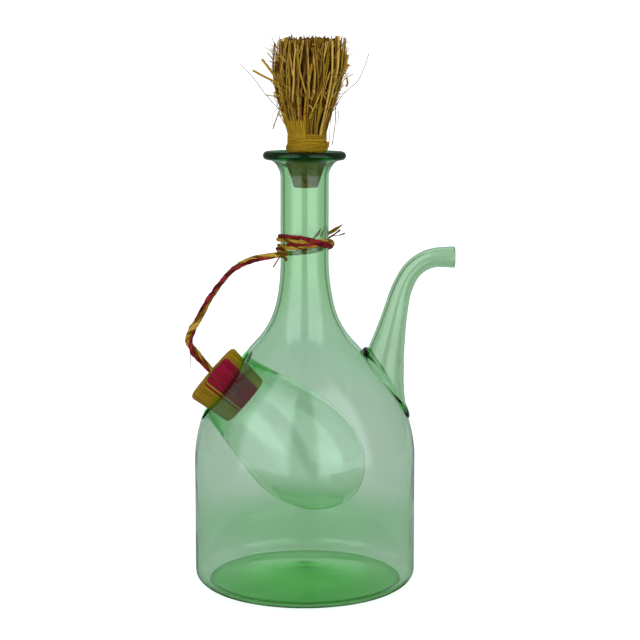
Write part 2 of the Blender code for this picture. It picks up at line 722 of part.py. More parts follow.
def make_tails():
    """The cut ends of the cord: three behind the neck's right side and one under the knot."""
    tails = {
        "tail_natural": (RAFFIA, 0.0009, [(0.0150, 0.0135, 0.2248), (0.0205, 0.0125, 0.2272), (0.0281, 0.0115, 0.2310)]),
        "tail_red": (RED_RAFFIA, 0.0006, [(0.0172, 0.0125, 0.2225), (0.0215, 0.0115, 0.2242), (0.0262, 0.0105, 0.2272)]),
        "tail_thin": (RAFFIA, 0.0004, [(0.0195, 0.0110, 0.2216), (0.0245, 0.0100, 0.2220), (0.0300, 0.0090, 0.2244)]),
        "knot_tail": (RAFFIA, 0.0005, [(-0.0146, -0.0122, 0.2054), (-0.0158, -0.0118, 0.2032), (-0.0176, -0.0113, 0.2010)]),
    }
    made = []
    for name, (material, radius, knots) in tails.items():
        path = smooth_path(knots, 0.0022)
        taper = np.linspace(1.0, 0.55, len(path))
        made.append(tube(name, path, radius * taper, material))
    return made


# ---- Assembly ---------------------------------------------------------------------------------
def hang_on(empty, pieces):
    """Parents the pieces to an empty without moving them."""
    bpy.context.view_layer.update()
    for piece in pieces:
        world = piece.matrix_world.copy()
        piece.parent = empty
        piece.matrix_parent_inverse = empty.matrix_world.inverted()
        piece.matrix_world = world


def build():
    pocket_cutter = lathe("pocket_cutter", pocket_outline(FIT_GAP) + [(0.0, -POCKET_OVERRUN)], GREEN_GLASS, 32)
    place_on_pocket_axis(pocket_cutter)
    pour_hole = spout_bar("pour_hole", SPOUT_WALL, 0.0040, 9, 0.004)
    glass = [
        make_bottle_body(pocket_cutter, pour_hole),
        make_ice_pocket(bottle_envelope("bottle_outside", 0.0)),
        make_pour_spout(bottle_envelope("bottle_outside_clear", FIT_GAP)),
    ]
    stopper = [make_cork_stopper(), make_straw_bundle(), make_binding(), make_binding_leaf(), make_binding_knot()]
    stopper += make_outer_straws()
    plug = [
        make_plug_core(),
        make_plug_wrap("plug_wrap_natural", NATURAL_SECTOR, RAFFIA),
        make_plug_wrap("plug_wrap_red", RED_SECTOR, RED_RAFFIA),
        make_plug_wrap("plug_strand_natural", NATURAL_STRAND_SECTOR, RAFFIA),
        make_plug_wrap("plug_strand_red", RED_STRAND_SECTOR, RED_RAFFIA),
        make_plug_tie(),
    ]
    fixed = glass + make_neck_wraps() + [make_neck_knot()] + make_tails()
    hang_on(empty_at("glass_axis", (0, 0, 0)), fixed)
    hang_on(empty_at("stopper_axis", (0, 0, CORK_BOTTOM)), stopper)
    hang_on(empty_at("plug_axis", POCKET_MOUTH, pocket_rotation()), plug)
    hang_on(empty_at("cord_axis", CORD_HINGE), make_tether())


build()
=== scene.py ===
"""Looks for the green glass decanter: blown glass, cork, wound raffia, twisted cord and a straw brush.

Everything is in metres in the CAD frame: +Z up, the spout towards +X, the ice pocket's mouth towards -X.
"""

import math
import random

import bmesh
import bpy
import numpy as np
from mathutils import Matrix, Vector, noise


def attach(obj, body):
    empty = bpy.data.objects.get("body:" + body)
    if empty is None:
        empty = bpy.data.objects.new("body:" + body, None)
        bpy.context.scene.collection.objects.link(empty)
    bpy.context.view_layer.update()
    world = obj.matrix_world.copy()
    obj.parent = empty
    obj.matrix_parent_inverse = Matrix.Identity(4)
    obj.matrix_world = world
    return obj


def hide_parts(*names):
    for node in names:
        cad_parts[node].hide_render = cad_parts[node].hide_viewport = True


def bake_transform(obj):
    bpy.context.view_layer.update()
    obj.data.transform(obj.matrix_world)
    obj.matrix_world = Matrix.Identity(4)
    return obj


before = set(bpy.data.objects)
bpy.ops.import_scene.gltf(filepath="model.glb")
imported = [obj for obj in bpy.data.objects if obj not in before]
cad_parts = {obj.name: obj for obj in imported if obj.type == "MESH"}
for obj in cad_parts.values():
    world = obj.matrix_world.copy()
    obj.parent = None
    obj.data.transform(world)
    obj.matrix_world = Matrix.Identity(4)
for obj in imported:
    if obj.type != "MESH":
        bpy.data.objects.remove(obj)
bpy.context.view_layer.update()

MM = 0.001
WELD = 1e-7

# ---- Shape of the glass ---------------------------------------------------------------------------
BODY_RADIUS = 0.070
NECK_RADIUS = 0.0151
BORE_RADIUS = 0.0124
FOOT_RADIUS = 0.059
CORNER_HEIGHT = 0.0092
WALL_TOP = 0.080
WALL = 0.0017                # body and shoulder
NECK_WALL = 0.0026
WALL_GROWS_FROM, WALL_GROWS_OVER = 0.10, 0.09    # heights over which it thickens towards the neck
FLOOR_EDGE = 0.0023          # glass at the rim of the foot
FLOOR_MIDDLE = 0.0050
FLOOR_RADIUS = 0.0613        # edge of the thick floor, which shows as a ring
KICK_HEIGHT = 0.0072         # rise of the pushed-up bottom
KICK_RADIUS = 0.055
SHOULDER_BEND = 0.085
SHOULDER_SLOPE = math.radians(42.5)
THROAT_BEND = 0.052
NECK_BEND = 0.130
NECK_BEND_ANGLE = math.radians(12.0)
FLARE_START = 0.2587
LIP_TOP = 0.2750
LIP_THICKNESS = 0.0054
LIP_RADIUS = 0.02595

POCKET_MOUTH = np.array((-0.0495, 0.0, 0.1272))
POCKET_TILT = math.radians(41.0)
POCKET_IN = np.array((math.cos(POCKET_TILT), 0.0, -math.sin(POCKET_TILT)))
POCKET_SIDE = np.array((0.0, -1.0, 0.0))
POCKET_UP = -np.cross(POCKET_SIDE, POCKET_IN)
POCKET_MOUTH_RADIUS = 0.0233
POCKET_BORE = 0.0203
POCKET_RADIUS = 0.0348
POCKET_WIDEST = 0.062
POCKET_LENGTH = 0.1077
POCKET_MOUTH_SLOPE = 0.12
POCKET_WALL = 0.0009
POCKET_SEAM = 0.0270
POCKET_STEPS = 144

SPOUT_TIP = (0.0944, 0.2088)
SPOUT_RADIUS = 0.0060
SPOUT_TIP_RADIUS = 0.0068
SPOUT_WALL = 0.0020
SPOUT_FLARE = 0.0160
SPOUT_FLARE_START = 0.025
SPOUT_FLARE_LENGTH = 0.100
SPOUT_LENGTH = 0.126
SPOUT_STEPS = 96


# ---- Mesh tools -----------------------------------------------------------------------------------
def link_new(name, data):
    obj = bpy.data.objects.new(name, data)
    bpy.context.scene.collection.objects.link(obj)
    return obj


def add_piece(name, mesh, material, body, slot, *replaced):
    """A finished piece that stands for CAD nodes. One with no body is left for a blend."""
    mesh.materials.append(material)
    obj = link_new(name, mesh)
    if body:
        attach(obj, body)
    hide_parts(*replaced)
    return obj


def clean(mesh):
    """Merge double points and turn the normals outwards."""
    builder = bmesh.new()
    builder.from_mesh(mesh)
    bmesh.ops.remove_doubles(builder, verts=builder.verts, dist=WELD)
    bmesh.ops.recalc_face_normals(builder, faces=builder.faces)
    builder.to_mesh(mesh)
    builder.free()


def smooth(mesh, sharp_angle):
    mesh.shade_smooth()
    mesh.set_sharp_from_angle(angle=math.radians(sharp_angle))


def mesh_from(name, verts, faces, sharp_angle=40.0):
    mesh = bpy.data.meshes.new(name)
    mesh.from_pydata([tuple(v) for v in verts], [], faces)
    clean(mesh)
    smooth(mesh, sharp_angle)
    return mesh


def add_values(mesh, name, values, kind="FLOAT", domain="POINT", field="value"):
    """Store an attribute of the mesh for its material to read."""
    attribute = mesh.attributes.new(name, kind, domain)
    attribute.data.foreach_set(field, np.asarray(values, np.float32).ravel())


def grid_faces(rows, columns, wrap_rows=False, first=0):
    """Quads of a grid whose columns close on themselves."""
    faces = []
    for row in range(rows if wrap_rows else rows - 1):
        start, following = first + row * columns, first + (row + 1) % rows * columns
        for column in range(columns):
            beside = (column + 1) % columns
            faces.append((start + column, start + beside, following + beside, following + column))
    return faces


def revolve(outline, steps):
    """Vertices and quads of an outline of (radius, height) spun about Z."""
    angles = np.linspace(0.0, 2 * math.pi, steps, endpoint=False)
    outline = np.asarray(outline)
    rings = np.empty((len(outline), steps, 3))
    rings[:, :, 0] = outline[:, :1] * np.cos(angles)
    rings[:, :, 1] = outline[:, :1] * np.sin(angles)
    rings[:, :, 2] = outline[:, 1:]
    return rings.reshape(-1, 3), grid_faces(len(outline), steps)


def resampled(points, spacing):
    """The polyline with its legs cut to about this spacing; its corners stay."""
    points = np.asarray(points, float)
    out = [points[0]]
    for start, end in zip(points, points[1:]):
        count = max(1, int(math.ceil(np.linalg.norm(end - start) / spacing)))
        out += [start + (end - start) * step / count for step in range(1, count + 1)]
    return np.array(out)


def unit(vectors):
    vectors = np.asarray(vectors, float)
    return vectors / np.linalg.norm(vectors, axis=-1, keepdims=True)


def length_along(points):
    """Distance from the start of a polyline to each of its points."""
    return np.concatenate([[0.0], np.cumsum(np.linalg.norm(np.diff(points, axis=0), axis=1))])


def looked_up(wanted, along, table):
    """Each column of the table at the wanted distances."""
    return np.stack([np.interp(wanted, along, column) for column in table.T], axis=-1)


def rounded(start, corner, end, pull, steps):
    """Points of a cubic curve from start to end that rounds off a corner; the new axis comes first."""
    first, second = start + pull * (corner - start), end + pull * (corner - end)
    t = np.linspace(0.0, 1.0, steps).reshape((-1,) + (1,) * np.ndim(start))
    return (1 - t) ** 3 * start + 3 * (1 - t) ** 2 * t * first + 3 * (1 - t) * t**2 * second + t**3 * end


# ---- Bottle wall ----------------------------------------------------------------------------------
def arc(centre, radii, start, end, steps):
    wide, high = np.broadcast_to(radii, 2)
    turns = np.linspace(start, end, steps + 1)
    return [(centre[0] + wide * math.cos(turn), centre[1] + high * math.sin(turn)) for turn in turns]


def shoulder_outline():
    """Outside of the wall from the body up to the neck."""
    points = arc((BODY_RADIUS - SHOULDER_BEND, WALL_TOP), SHOULDER_BEND, 0.0, SHOULDER_SLOPE, 40)
    bend_in = SHOULDER_BEND * (1 - math.cos(SHOULDER_SLOPE))
    throat_width = THROAT_BEND * (math.cos(NECK_BEND_ANGLE) - math.cos(SHOULDER_SLOPE))
    neck_width = NECK_BEND * (1 - math.cos(NECK_BEND_ANGLE))
    run = BODY_RADIUS - bend_in - throat_width - neck_width - NECK_RADIUS
    top = (
        BODY_RADIUS - bend_in - run,
        WALL_TOP + SHOULDER_BEND * math.sin(SHOULDER_SLOPE) + run / math.tan(SHOULDER_SLOPE),
    )
    throat = (
        top[0] + THROAT_BEND * math.cos(SHOULDER_SLOPE),
        top[1] + THROAT_BEND * math.sin(SHOULDER_SLOPE),
    )
    points += arc(throat, THROAT_BEND, math.pi + SHOULDER_SLOPE, math.pi + NECK_BEND_ANGLE, 24)
    neck = (NECK_RADIUS + NECK_BEND, throat[1] + (NECK_BEND - THROAT_BEND) * math.sin(NECK_BEND_ANGLE))
    return points + arc(neck, NECK_BEND, math.pi + NECK_BEND_ANGLE, math.pi, 16)[1:]


def inside_of(outline):
    """The wall's inner face: the outline moved in square to itself, thicker towards the neck."""
    outline = np.asarray(outline)
    run = unit(np.gradient(outline, axis=0))
    share = np.clip((outline[:, 1] - WALL_GROWS_FROM) / WALL_GROWS_OVER, 0.0, 1.0)
    wall = WALL + (NECK_WALL - WALL) * (3 * share**2 - 2 * share**3)
    return outline + np.stack([-run[:, 1], run[:, 0]], axis=1) * wall[:, None]


def kick(radius):
    """Height of the bottom's underside at a radius."""
    share = np.clip(1.0 - np.asarray(radius) / KICK_RADIUS, 0.0, 1.0)
    return KICK_HEIGHT * (0.75 * (share - 0.06 * share**6) + 0.30 * share**2 * (3 - 2 * share)) * 0.99


def bottle_outline():
    """Whole section of the bottle: foot centre, outside, lip, inside, floor centre."""
    corner = BODY_RADIUS - FOOT_RADIUS
    reach = np.linspace(0.0, KICK_RADIUS, 24)
    outside = [(radius, float(kick(radius))) for radius in reach]
    outside += arc((FOOT_RADIUS, CORNER_HEIGHT), (corner, CORNER_HEIGHT), -math.pi / 2, 0.0, 24)
    outside += shoulder_outline()
    rim = LIP_THICKNESS / 2
    middle = LIP_RADIUS - rim
    under = (middle - NECK_RADIUS, LIP_TOP - LIP_THICKNESS - FLARE_START)
    lip = arc((middle, FLARE_START), under, math.pi, math.pi / 2, 20)
    lip += arc((middle, LIP_TOP - rim), rim, -math.pi / 2, math.pi / 2, 16)[1:]
    bore = (middle - BORE_RADIUS, LIP_TOP - FLARE_START)
    lip += arc((middle, FLARE_START), bore, math.pi / 2, math.pi, 20)[1:]
    inside = [tuple(point) for point in inside_of(shoulder_outline())[::-1]]
    inside += arc((FOOT_RADIUS, CORNER_HEIGHT), (corner - WALL, CORNER_HEIGHT - 0.0018), 0.0, -1.30, 20)
    inside += [(FLOOR_RADIUS - 0.0004, FLOOR_EDGE - 0.0002), (FLOOR_RADIUS - 0.0016, FLOOR_EDGE)]
    for radius in reach[::-1]:
        share = 1.0 - radius / KICK_RADIUS
        thickening = (FLOOR_MIDDLE - FLOOR_EDGE) * share
        inside.append((radius, float(kick(radius)) + FLOOR_EDGE + 0.0001 + thickening))
    return outside + lip + inside


OUTER_WALL = resampled([(BODY_RADIUS, 0.02)] + shoulder_outline() + [(NECK_RADIUS, 0.25)], 0.0005)
INNER_WALL = resampled(
    [(BODY_RADIUS - WALL, 0.02), *inside_of(shoulder_outline()), (NECK_RADIUS - NECK_WALL, 0.25)], 0.0005
)


def onto_wall(points, wall):
    """Nearest places on the wall of revolution, and its outward normals there."""
    points = np.asarray(points, float)
    flat = np.stack([np.hypot(points[..., 0], points[..., 1]), points[..., 2]], axis=-1)
    gaps = np.linalg.norm(flat[..., None, :] - wall, axis=-1)
    near = np.clip(np.argmin(gaps, axis=-1), 1, len(wall) - 2)
    along = unit(wall[near + 1] - wall[near - 1])
    foot = wall[near] + np.sum((flat - wall[near]) * along, axis=-1, keepdims=True) * along
    around = points[..., :2] / flat[..., :1]
    place = np.concatenate([around * foot[..., :1], foot[..., 1:]], axis=-1)
    return place, np.concatenate([around * along[..., 1:], -along[..., :1]], axis=-1)


def crossing(point_at, start, end, shape, wall):
    """Distances along a set of lines at which each goes from one side of the wall to the other."""
    low, high = np.full(shape, start), np.full(shape, end)
    for _ in range(40):
        middle = (low + high) / 2
        place = point_at(middle)
        radius = np.interp(place[..., 2], wall[:, 1], wall[:, 0])
        inside = np.hypot(place[..., 0], place[..., 1]) < radius
        high = np.where(inside, middle, high)
        low = np.where(inside, low, middle)
    return (low + high) / 2


# ---- Ice pocket: s is the distance along its axis, from the mouth inwards -------------------------
def pocket_radius(s):
    s = np.asarray(s, float)
    share = np.clip((s - POCKET_WIDEST) / (POCKET_LENGTH - POCKET_WIDEST), 0.0, 1.0)
    t = np.clip(s / POCKET_WIDEST, 0.0, 1.0)
    swell = (POCKET_RADIUS - POCKET_MOUTH_RADIUS) * (3 * t**2 - 2 * t**3)
    front = POCKET_MOUTH_RADIUS + swell + POCKET_MOUTH_SLOPE * POCKET_WIDEST * (t**3 - 2 * t**2 + t)
    return np.where(s >= POCKET_WIDEST, POCKET_RADIUS * np.sqrt(1.0 - share**2), front)


def pocket_point(radius, s, angle):
    around = np.cos(angle)[..., None] * POCKET_SIDE + np.sin(angle)[..., None] * POCKET_UP
    return POCKET_MOUTH + np.asarray(s)[..., None] * POCKET_IN + np.asarray(radius)[..., None] * around


def depth_on_wall(radius, angle, wall):
    """s at which a line parallel to the pocket's axis passes through the wall."""
    radius = np.broadcast_to(radius, angle.shape)
    return crossing(lambda s: pocket_point(radius, s, angle), -0.035, 0.030, angle.shape, wall)


def pocket_rows():
    """Rings of the pocket piece, from the inside of its closed end, out over the fold, to its outside."""
    angle = np.linspace(0.0, 2 * math.pi, POCKET_STEPS, endpoint=False)
    ring_depth, thin_depth = 0.002, 0.014
    end_inside = POCKET_LENGTH - POCKET_WIDEST - POCKET_WALL
    rows = []

    def at(radius, s):
        return pocket_point(np.broadcast_to(radius, angle.shape), np.broadcast_to(s, angle.shape), angle)

    def inner_radius(s):
        thick = float(pocket_radius(ring_depth)) - POCKET_WALL - POCKET_BORE
        return pocket_radius(s) - POCKET_WALL - thick * np.exp(-(((s - ring_depth) / thin_depth) ** 2))

    for turn in np.linspace(math.pi / 2, 0.0, 30):
        s = POCKET_WIDEST + end_inside * math.sin(turn)
        rows.append(at((POCKET_RADIUS - POCKET_WALL) * math.cos(turn), s))
    for s in np.linspace(POCKET_WIDEST, ring_depth + 0.006, 44)[1:]:
        rows.append(at(inner_radius(s), s))
    fold_reach, fold_depth = 0.0022, 0.0026
    corner_s = depth_on_wall(POCKET_BORE, angle, OUTER_WALL)
    bore_end = corner_s + fold_depth
    for share in np.linspace(0.0, 1.0, 6)[1:-1]:
        s = (ring_depth + 0.006) * (1 - share) + bore_end * share
        rows.append(at(np.where(s > ring_depth, inner_radius(s), POCKET_BORE), s))
    lip_radius = POCKET_BORE + fold_reach
    end = at(lip_radius, depth_on_wall(lip_radius, angle, OUTER_WALL))
    rows += list(rounded(at(POCKET_BORE, bore_end), at(POCKET_BORE, corner_s), end, 0.62, 12))
    for radius in np.linspace(lip_radius, POCKET_SEAM, 4)[1:]:
        rows.append(at(radius, depth_on_wall(radius, angle, OUTER_WALL)))
    seam = len(rows)
    inner_reach, inner_depth = 0.0022, 0.0040
    mouth_radius = pocket_radius(0.0) + 0.0004
    for radius in np.linspace(POCKET_SEAM, mouth_radius + inner_reach, 3):
        rows.append(at(radius, depth_on_wall(radius, angle, INNER_WALL)))
    corner_s = depth_on_wall(mouth_radius, angle, INNER_WALL)
    shell_end = corner_s + inner_depth
    end = at(pocket_radius(shell_end), shell_end)
    rows += list(rounded(rows[-1], at(mouth_radius, corner_s), end, 0.6, 10))[1:]
    deep = 0.016
    for share in np.linspace(0.0, 1.0, 8)[1:]:
        s = shell_end + (deep - shell_end) * share
        rows.append(at(pocket_radius(s), s))
    for s in np.linspace(deep, POCKET_WIDEST, 40)[1:]:
        rows.append(at(pocket_radius(s), s))
    for turn in np.linspace(0.0, math.pi / 2, 30)[1:]:
        s = POCKET_WIDEST + (POCKET_LENGTH - POCKET_WIDEST) * math.sin(turn)
        rows.append(at(POCKET_RADIUS * math.cos(turn), s))
    return np.array(rows), seam


def tube_cutter(name, ends, caps):
    """Closed cutter between two rings, with a point at the middle of each end."""
    count = len(ends[0])
    faces = grid_faces(2, count)
    for column in range(count):
        beside = (column + 1) % count
        faces.append((column, 2 * count, beside))
        faces.append((count + column, count + beside, 2 * count + 1))
    return link_new(name, mesh_from(name, np.vstack([*ends, caps]), faces))


def pocket_cutter():
    angle = np.linspace(0.0, 2 * math.pi, POCKET_STEPS, endpoint=False)
    depths = (-0.03, 0.03)
    ends = [pocket_point(np.full_like(angle, POCKET_SEAM), np.full_like(angle, s), angle) for s in depths]
    return tube_cutter("pocket_cutter", ends, [POCKET_MOUTH + s * POCKET_IN for s in depths])


# ---- Spout: t is the distance along its middle line, from the tip ---------------------------------
def spout_path():
    """Straight tip, two bends and a straight run, then slowly down into the shoulder."""
    step = 0.0005
    legs = [(0.009, 0.0)]                                       # length, turn for each metre
    legs += [(radius * math.radians(angle), 1.0 / radius) for radius, angle in ((0.024, 62.0), (0.060, 15.0))]
    legs += [(0.034, 0.0)]
    x, z, heading = *SPOUT_TIP, 0.0
    points = [(x, 0.0, z)]
    for length, turn in legs:
        count = round(length / step)
        for _ in range(count):
            heading += turn * length / count
            x -= math.cos(heading) * length / count
            z -= math.sin(heading) * length / count
            points.append((x, 0.0, z))
    travelled = step * (len(points) - 1)
    while travelled < SPOUT_LENGTH + 0.03:
        heading = min(math.pi / 2, heading + step / 0.150)
        x -= math.cos(heading) * step
        z -= math.sin(heading) * step
        travelled += step
        points.append((x, 0.0, z))
    return np.array(points)


SPOUT_PATH = spout_path()
SPOUT_ALONG = length_along(SPOUT_PATH)
SPOUT_TANGENT = unit(np.gradient(SPOUT_PATH, axis=0))


def spout_radius(t):
    tip = (SPOUT_TIP_RADIUS - SPOUT_RADIUS) * np.clip(1.0 - t / 0.018, 0.0, 1.0) ** 1.5
    share = np.clip((t - SPOUT_FLARE_START) / SPOUT_FLARE_LENGTH, 0.0, 2.0)
    growth = np.where(share < 0.66, share**2, 0.66**2 + 0.85 * (share - 0.66))
    return SPOUT_RADIUS + tip + SPOUT_FLARE * growth


def spout_point(t, angle, inset=0.0):
    t = np.broadcast_to(t, angle.shape)
    tangent = unit(looked_up(t, SPOUT_ALONG, SPOUT_TANGENT))
    out = np.stack([tangent[..., 2], np.zeros_like(tangent[..., 0]), -tangent[..., 0]], axis=-1)
    around = np.cos(angle)[..., None] * out + np.sin(angle)[..., None] * np.array((0.0, 1.0, 0.0))
    return looked_up(t, SPOUT_ALONG, SPOUT_PATH) + (spout_radius(t) - inset)[..., None] * around


def spout_meets(angle, wall, inset):
    """t at which each line of the spout's surface passes into the wall."""
    return crossing(lambda t: spout_point(t, angle, inset), 0.05, SPOUT_LENGTH + 0.02, angle.shape, wall)


def away_from_spout(places, normals):
    """Directions on the wall, square to the closed curve of places, pointing away from its middle."""
    run = unit(np.roll(places, -1, axis=0) - np.roll(places, 1, axis=0))
    away = unit(np.cross(normals, run))
    return away * np.sign(np.sum(away * (places - places.mean(axis=0)), axis=1, keepdims=True))


def spout_rows():
    """Rings of the spout piece as a closed loop: tip, outside, weld bead, seam, inside, tip."""
    angle = np.linspace(0.0, 2 * math.pi, SPOUT_STEPS, endpoint=False)
    rim = SPOUT_WALL / 2
    bead_rise, bead_reach, bead_swell = 0.0034, 0.0030, 0.0013
    rows = []
    for turn in np.linspace(0.0, math.pi / 2, 6):
        rows.append(spout_point(rim * (1 - math.cos(turn)), angle, rim * (1 - math.sin(turn))))
    meet = spout_meets(angle, OUTER_WALL, 0.0)
    for share in np.linspace(0.0, 1.0, 90)[1:]:
        rows.append(spout_point(rim + (meet - bead_rise - rim) * share, angle))
    contact, normal = onto_wall(spout_point(meet, angle), OUTER_WALL)
    foot, foot_normal = onto_wall(contact + away_from_spout(contact, normal) * bead_reach, OUTER_WALL)
    top = rows[-1]
    wall_normal = unit(np.cross(np.roll(top, -1, axis=0) - np.roll(top, 1, axis=0), top - contact))
    wall_normal *= np.sign(np.sum(wall_normal * (top - top.mean(axis=0)), axis=1, keepdims=True))
    lift = unit(wall_normal + normal)
    for share in np.linspace(0.0, 1.0, 15)[1:]:
        swell = bead_swell * math.sqrt(max(0.0, 1 - (2 * share - 1) ** 2))
        rows.append(top + (foot - top) * share + lift * swell)
    seam = len(rows)
    rows.append(onto_wall(foot - foot_normal * WALL, INNER_WALL)[0])
    meet = spout_meets(angle, INNER_WALL, SPOUT_WALL)
    corner, corner_normal = onto_wall(spout_point(meet, angle, SPOUT_WALL), INNER_WALL)
    start, _ = onto_wall(corner + away_from_spout(corner, corner_normal) * 0.0022, INNER_WALL)
    inner_end = meet - 0.0030
    rows += list(rounded(start, corner, spout_point(inner_end, angle, SPOUT_WALL), 0.6, 10))
    for share in np.linspace(0.0, 1.0, 90)[1:]:
        rows.append(spout_point(inner_end + (rim - inner_end) * share, angle, SPOUT_WALL))
    for turn in np.linspace(0.0, math.pi / 2, 6)[1:-1]:
        inset = SPOUT_WALL - rim * (1 - math.cos(turn))
        rows.append(spout_point(rim * (1 - math.sin(turn)), angle, inset))
    return np.array(rows), seam, foot, foot_normal


def spout_cutter(foot, normal):
    middle, up = foot.mean(axis=0), unit(normal.mean(axis=0))
    reach = 0.008
    ends = [foot + normal * reach, foot - normal * reach]
    return tube_cutter("spout_cutter", ends, [middle + up * 0.014, middle - up * 0.010])


# ---- Glass pieces ---------------------------------------------------------------------------------
SWAY_FREQUENCY, SWAY_REACH = 26.0, 0.00022
RIPPLE_FREQUENCY, RIPPLE_REACH = 70.0, 0.00006
STEADY_HEIGHT = 0.02         # below this the sway up and down fades out, so that the foot stands flat
SWAY_SEED = 1                # without one, Blender's vector noise starts from the clock and differs each run


def sway(mesh):
    """The slow unevenness of hand-blown glass: the same small shift for every piece at a place."""
    for vertex in mesh.vertices:
        point = vertex.co.copy()
        shift = noise.noise_vector(point * SWAY_FREQUENCY) * SWAY_REACH
        shift += noise.noise_vector(point * RIPPLE_FREQUENCY + Vector((3.1, 7.7, 1.3))) * RIPPLE_REACH
        low = min(1.0, max(0.0, point.z / STEADY_HEIGHT))
        vertex.co = (point.x + shift.x, point.y + shift.y, point.z + shift.z * low)
    mesh.update()


def make_bottle(material, cutters):
    verts, faces = revolve(resampled(bottle_outline(), 0.0022), 240)
    mesh = mesh_from("bottle_glass", verts, faces)
    mesh.materials.append(material)
    uncut = link_new("bottle_glass_uncut", mesh)
    cut_material = bpy.data.materials.new("seam_marker")
    for cutter in cutters:
        cutter.data.materials.append(cut_material)
        modifier = uncut.modifiers.new("cut", "BOOLEAN")
        modifier.operation = "DIFFERENCE"
        modifier.solver = "EXACT"
        modifier.object = cutter
        modifier.material_mode = "TRANSFER"
    graph = bpy.context.evaluated_depsgraph_get()
    graph.update()
    cut = bpy.data.meshes.new_from_object(uncut.evaluated_get(graph), depsgraph=graph)
    names = [slot.name if slot else "" for slot in cut.materials]
    seam_slots = {index for index, name in enumerate(names) if name.startswith("seam_marker")}
    flags = [face.material_index in seam_slots for face in cut.polygons]
    for face in cut.polygons:
        face.material_index = 0
    cut.materials.clear()
    add_values(cut, "seam", flags, domain="FACE")
    sway(cut)
    smooth(cut, 40.0)
    for used in [uncut, *cutters]:
        bpy.data.objects.remove(used, do_unlink=True)
    add_piece("bottle_glass", cut, material, "glass", "green_glass", "bottle_body")


def make_grid_glass(name, rows, seam, wrap, material, node):
    """A welded-on piece from its rings; the ring of faces at its seam lies inside the bottle's wall."""
    count = rows.shape[1]
    faces = grid_faces(len(rows), count, wrap)
    mesh = bpy.data.meshes.new(name)
    mesh.from_pydata([tuple(v) for v in rows.reshape(-1, 3)], [], faces)
    add_values(mesh, "seam", [index // count == seam - 1 for index in range(len(faces))], domain="FACE")
    clean(mesh)
    sway(mesh)
    smooth(mesh, 50.0)
    return add_piece(name, mesh, material, "glass", "green_glass", node)


# ---- Materials ------------------------------------------------------------------------------------
class Tree:
    """Short calls that add nodes. A value is a number, a vector, a colour or another node's socket."""

    def __init__(self, tree):
        self.nodes, self.links = tree.nodes, tree.links

    def feed(self, socket, value):
        if isinstance(value, bpy.types.NodeSocket):
            self.links.new(value, socket)
        else:
            socket.default_value = (*value, 1.0) if socket.type == "RGBA" else value

    def feed_named(self, node, named):
        for name, value in named.items():
            self.feed(node.inputs[name], value)

    def add(self, kind, *values, named=None, **settings):
        """A node with its settings, its first sockets fed in order and others by name."""
        node = self.nodes.new("ShaderNode" + kind)
        for name, value in settings.items():
            setattr(node, name, value)
        for socket, value in zip(node.inputs, values):
            self.feed(socket, value)
        self.feed_named(node, named or {})
        return node

    def out(self, kind, *values, named=None, **settings):
        """The first output of a new node."""
        return self.add(kind, *values, named=named, **settings).outputs[0]

    def math(self, operation, *values):
        return self.out("Math", *values, operation=operation)

    def product(self, first, *others):
        for other in others:
            first = self.math("MULTIPLY", first, other)
        return first

    def step(self, value, low, high):
        """Smooth step of a value, 0 below low and 1 above high; low above high makes it fall."""
        span = {"Value": value, "From Min": min(low, high), "From Max": max(low, high)}
        span.update({"To Min": float(low > high), "To Max": float(low < high)})
        return self.add("MapRange", named=span, interpolation_type="SMOOTHSTEP").outputs["Result"]

    def mix(self, share, first, second, blend_type="MIX"):
        """A colour between two."""
        node = self.add("Mix", data_type="RGBA", blend_type=blend_type)
        self.feed_named(node, {"Factor": share, "A": first, "B": second})
        return node.outputs["Result"]

    def stops(self, value, stops):
        """A colour picked from (place, colour) stops."""
        node = self.add("ValToRGB", value)
        elements = node.color_ramp.elements
        while len(elements) < len(stops):
            elements.new(0.5)
        for element, (place, colour) in zip(elements, stops):
            element.position = place
            element.color = (*colour, 1.0)
        return node.outputs["Color"]

    def attribute(self, name, output="Fac"):
        return self.add("Attribute", attribute_name=name).outputs[output]

    def noise(self, vector, scale, detail):
        return self.out("TexNoise", named={"Vector": vector, "Scale": scale, "Detail": detail})

    def relief(self, height, strength, distance):
        return self.out("Bump", named={"Height": height, "Strength": strength, "Distance": distance})

    def azimuth(self, vector):
        """Angle from the camera's side, in degrees and the same to the left and right, and the height."""
        x, y, z = self.add("SeparateXYZ", vector).outputs
        across, ahead = self.math("ABSOLUTE", x), self.math("MULTIPLY", y, -1.0)
        return self.math("DEGREES", self.math("ARCTAN2", across, ahead)), z


def new_material(name):
    material = bpy.data.materials.new(name)
    material.use_nodes = True
    nodes = material.node_tree.nodes
    return material, Tree(material.node_tree), nodes["Principled BSDF"], nodes["Material Output"]


GLASS_TINT = (0.965, 0.985, 0.965)
NECK_TINT = (0.85, 0.945, 0.81)
NECK_TINT_SPAN = (0.150, 0.205)
SPOUT_TINT = (0.82, 0.905, 0.79)
LIP_TINT_AND_PAINTED_SHADE = (0.13, 0.66, 0.13)             # the rolled lip is thick glass; its nearly black green is partly its own and partly painted shade
LIP_TINT_SPAN = (LIP_TOP - 0.0048, LIP_TOP - 0.0036)
# Painted shade on the lip: a dark diffuse sheet, and the share of it mixed over the glass.
LIP_PAINTED_SHADE = (0.003, 0.022, 0.004)
LIP_PAINTED_SHADE_SHARE = 0.50
